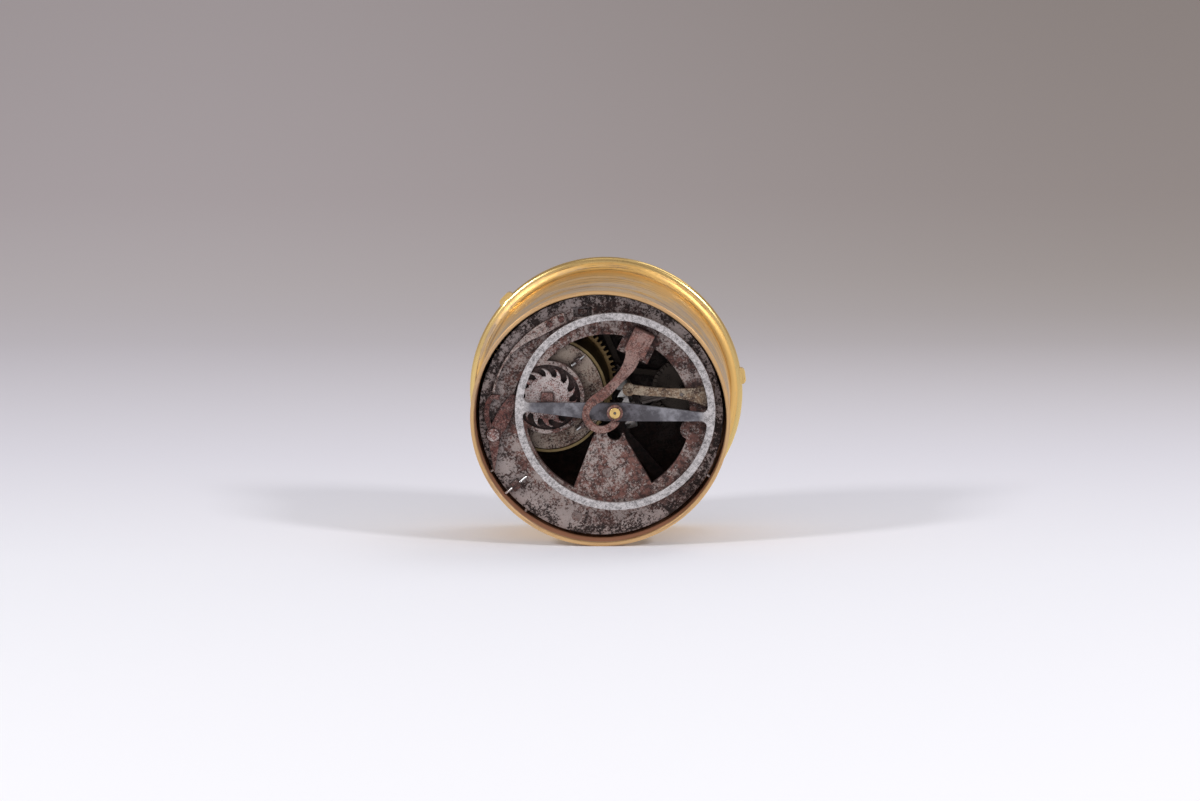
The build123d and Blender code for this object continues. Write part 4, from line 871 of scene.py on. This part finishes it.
# %% Touch studs
stud_circle, stud_radius = 29.4 * MM, 0.55 * MM
twelve_angle = math.atan2(upward.y, upward.x)
to_twelve = Matrix.Rotation(twelve_angle, 4, "Z")
studs = Pattern("touch_stud_rule", {"Count": 12, "Circle": stud_circle, "Radius": stud_radius,
                                    "Lift": ring_top})
dome = studs.node("GeometryNodeMeshUVSphere", {}, {"Segments": 20, "Rings": 12,
                                                   "Radius": studs.size("Radius")})
studs.close(studs.ring(dome, studs.size("Count"), studs.size("Circle"), studs.size("Lift")), bezel_gilt)
touch_studs = studs.make("touch_stud_domes")
touch_studs.data.transform(to_twelve)
for vertex in touch_studs.data.vertices:
    vertex.co.z = ring_top + (vertex.co.z - ring_top) * (stud_top - ring_top) / stud_radius
touch_studs.data.shade_smooth()
settle(touch_studs, "root", "dial_gilt", "touch_studs")

# %% [markdown]
# ## Engraved lines and marks
# A chapter ring is divided by engraved circles filled with dark wax. They are fifteen thousandths
# of a millimetre proud here, so that they show without a texture. One tree makes a ring of marks,
# for the quarters and for the rays in the middle of the dial, and a second makes a circle.

# %% Wax filling
def wax_finish():
    """Dark engraver's wax, slightly shiny and uneven."""
    finish = Finish(bpy.data.materials.new("engraver_wax"))
    clouds = finish.noise(1800, 3.0, 0.6)
    tone = finish.blend(finish.mask(clouds, 0.4, 0.65), shade(28, 22, 20), shade(54, 42, 36))
    return finish.surface(base_color=tone, roughness=0.5 + clouds * 0.2,
                          normal=finish.relief(clouds, 0.2, 0.00003))


wax = wax_finish()
wax_height = 0.03 * MM
print("wax is", round(wax_height / MM, 3), "mm thick, and half of it is proud")

# %% Quarter marks and rays
marks = Pattern("ring_of_marks", {"Count": 48, "Circle": 28.0 * MM, "Length": 0.8 * MM,
                                  "Width": 0.12 * MM, "Height": wax_height, "Lift": ring_top})
mark_size = marks.node("ShaderNodeCombineXYZ", {}, {
    "X": marks.size("Length"), "Y": marks.size("Width"), "Z": marks.size("Height")})
bar = marks.node("GeometryNodeMeshCube", {}, {"Size": mark_size})
marks.close(marks.ring(bar, marks.size("Count"), marks.size("Circle"), marks.size("Lift")), wax)
quarter_marks = marks.make("quarter_marks")
quarter_marks.data.transform(to_twelve)
settle(quarter_marks, "root", "chapter_silver")
long_rays = marks.make("long_rays", {"Count": 12, "Circle": 11.2 * MM, "Length": 12.0 * MM,
                                     "Width": 0.22 * MM, "Lift": dial_top})
long_rays.data.transform(to_twelve)
settle(long_rays, "root", "dial_gilt")
short_rays = marks.make("short_rays", {"Count": 72, "Circle": 8.4 * MM, "Length": 4.2 * MM,
                                       "Width": 0.1 * MM, "Lift": dial_top})
short_rays.data.transform(to_twelve)
settle(short_rays, "root", "dial_gilt")

# %% Engraved circles
circle = Pattern("engraved_circle", {"Radius": 20.4 * MM, "Width": 0.14 * MM, "Height": wax_height,
                                     "Lift": ring_top})
path = circle.node("GeometryNodeCurvePrimitiveCircle", {}, {"Resolution": 180,
                                                            "Radius": circle.size("Radius")})
section = circle.node("GeometryNodeCurvePrimitiveQuadrilateral", {},
                      {"Width": circle.size("Width"), "Height": circle.size("Height")})
band = circle.node("GeometryNodeCurveToMesh", {}, {"Curve": path, "Profile Curve": section})
rise = circle.node("ShaderNodeCombineXYZ", {}, {"Z": circle.size("Lift")})
raised = circle.node("GeometryNodeTransform", {}, {"Geometry": band, "Translation": rise})
circle.close(raised, wax)
for radius in (20.4, 23.0, 23.3, 27.55, 28.45):
    line = circle.make("ring_circle_%d" % round(radius * 100), {"Radius": radius * MM})
    settle(line, "root", "chapter_silver")
for radius in (5.2, 5.5, 10.8, 17.6, 19.2):
    line = circle.make("dial_circle_%d" % round(radius * 100),
                       {"Radius": radius * MM, "Lift": dial_top})
    settle(line, "root", "dial_gilt")

# %% [markdown]
# ## Numerals
# The hours are Roman numerals cut with a thick and a thin stroke. A font would give modern
# letters, so each numeral is built from its strokes: I is one bar, V is two, X is two crossed
# bars, and each bar's end gets a short serif. The strokes are laid out flat and then turned to
# their hour, with twelve at the top of the photograph.

# %% Strokes of the Roman numerals
thick, thin = 0.42, 0.16
serif_reach = 0.38
letters = {
    "I": (0.9, [((0.45, 0.0), (0.45, 1.0), thick)]),
    "V": (2.2, [((0.35, 1.0), (1.1, 0.0), thick), ((1.1, 0.0), (1.85, 1.0), thin)]),
    "X": (2.2, [((0.35, 1.0), (1.85, 0.0), thick), ((0.35, 0.0), (1.85, 1.0), thin)]),
}
hours = ["I", "II", "III", "IIII", "V", "VI", "VII", "VIII", "IX", "X", "XI", "XII"]


def bar_corners(start, end, width, height):
    """The four corners of a stroke, with its ends cut level."""
    a, b = Vector((start[0], start[1] * height)), Vector((end[0], end[1] * height))
    half = width / 2 * (b - a).length / abs((b - a).y)
    return [(a.x - half, a.y), (a.x + half, a.y), (b.x + half, b.y), (b.x - half, b.y)]


def serif_corners(x, y, height):
    """The four corners of a serif, level with a stroke's end."""
    low = y * height - (thin if y else 0)
    return [(x - serif_reach, low), (x + serif_reach, low),
            (x + serif_reach, low + thin), (x - serif_reach, low + thin)]


def numeral_strokes(text, height):
    """Every stroke of a numeral, centred on its middle."""
    strokes, pen = [], 0.0
    for letter in text:
        width, bars = letters[letter]
        for start, end, breadth in bars:
            shifted = [(x + pen, y) for x, y in (start, end)]
            strokes.append(bar_corners(*shifted, breadth, height))
            strokes += [serif_corners(x, y, height) for x, y in shifted]
        pen += width
    return [[(x - pen / 2, y - height / 2) for x, y in stroke] for stroke in strokes]


numeral_radius, numeral_height = 25.4, 3.0
print("twelve has", len(numeral_strokes("XII", numeral_height)), "strokes")

# %% [markdown]
# Each stroke becomes a low, closed prism that is sunk a little into the ring. Where strokes cross,
# their tops may not lie in one plane, or they would flicker, so each is a trifle higher than the
# one before.

# %% Numerals on the ring
sunk = wax_height
layer_step = 0.02
shape = bmesh.new()
for number, text in enumerate(hours, start=1):
    to_hour = Matrix.Rotation(twelve_angle - math.pi / 2 - math.radians(30 * number), 4, "Z")
    for layer, stroke in enumerate(numeral_strokes(text, numeral_height), start=1):
        area = sum(a[0] * b[1] - b[0] * a[1] for a, b in zip(stroke, stroke[1:] + stroke[:1]))
        outline = stroke if area > 0 else stroke[::-1]
        top = ring_top + wax_height * (0.5 + layer_step * layer)
        low, high = ([shape.verts.new(to_hour @ Vector((x * MM, (y + numeral_radius) * MM, level)))
                      for x, y in outline] for level in (ring_top - sunk, top))
        shape.faces.new(high)
        shape.faces.new(low[::-1])
        for n in range(4):
            shape.faces.new((low[n], low[(n + 1) % 4], high[(n + 1) % 4], high[n]))
mesh = bpy.data.meshes.new("hour_numerals")
shape.to_mesh(mesh)
shape.free()
mesh.materials.append(wax)
numerals = bpy.data.objects.new("hour_numerals", mesh)
bpy.context.scene.collection.objects.link(numerals)
settle(numerals, "root", "chapter_silver")
print("numerals:", len(mesh.polygons), "faces")
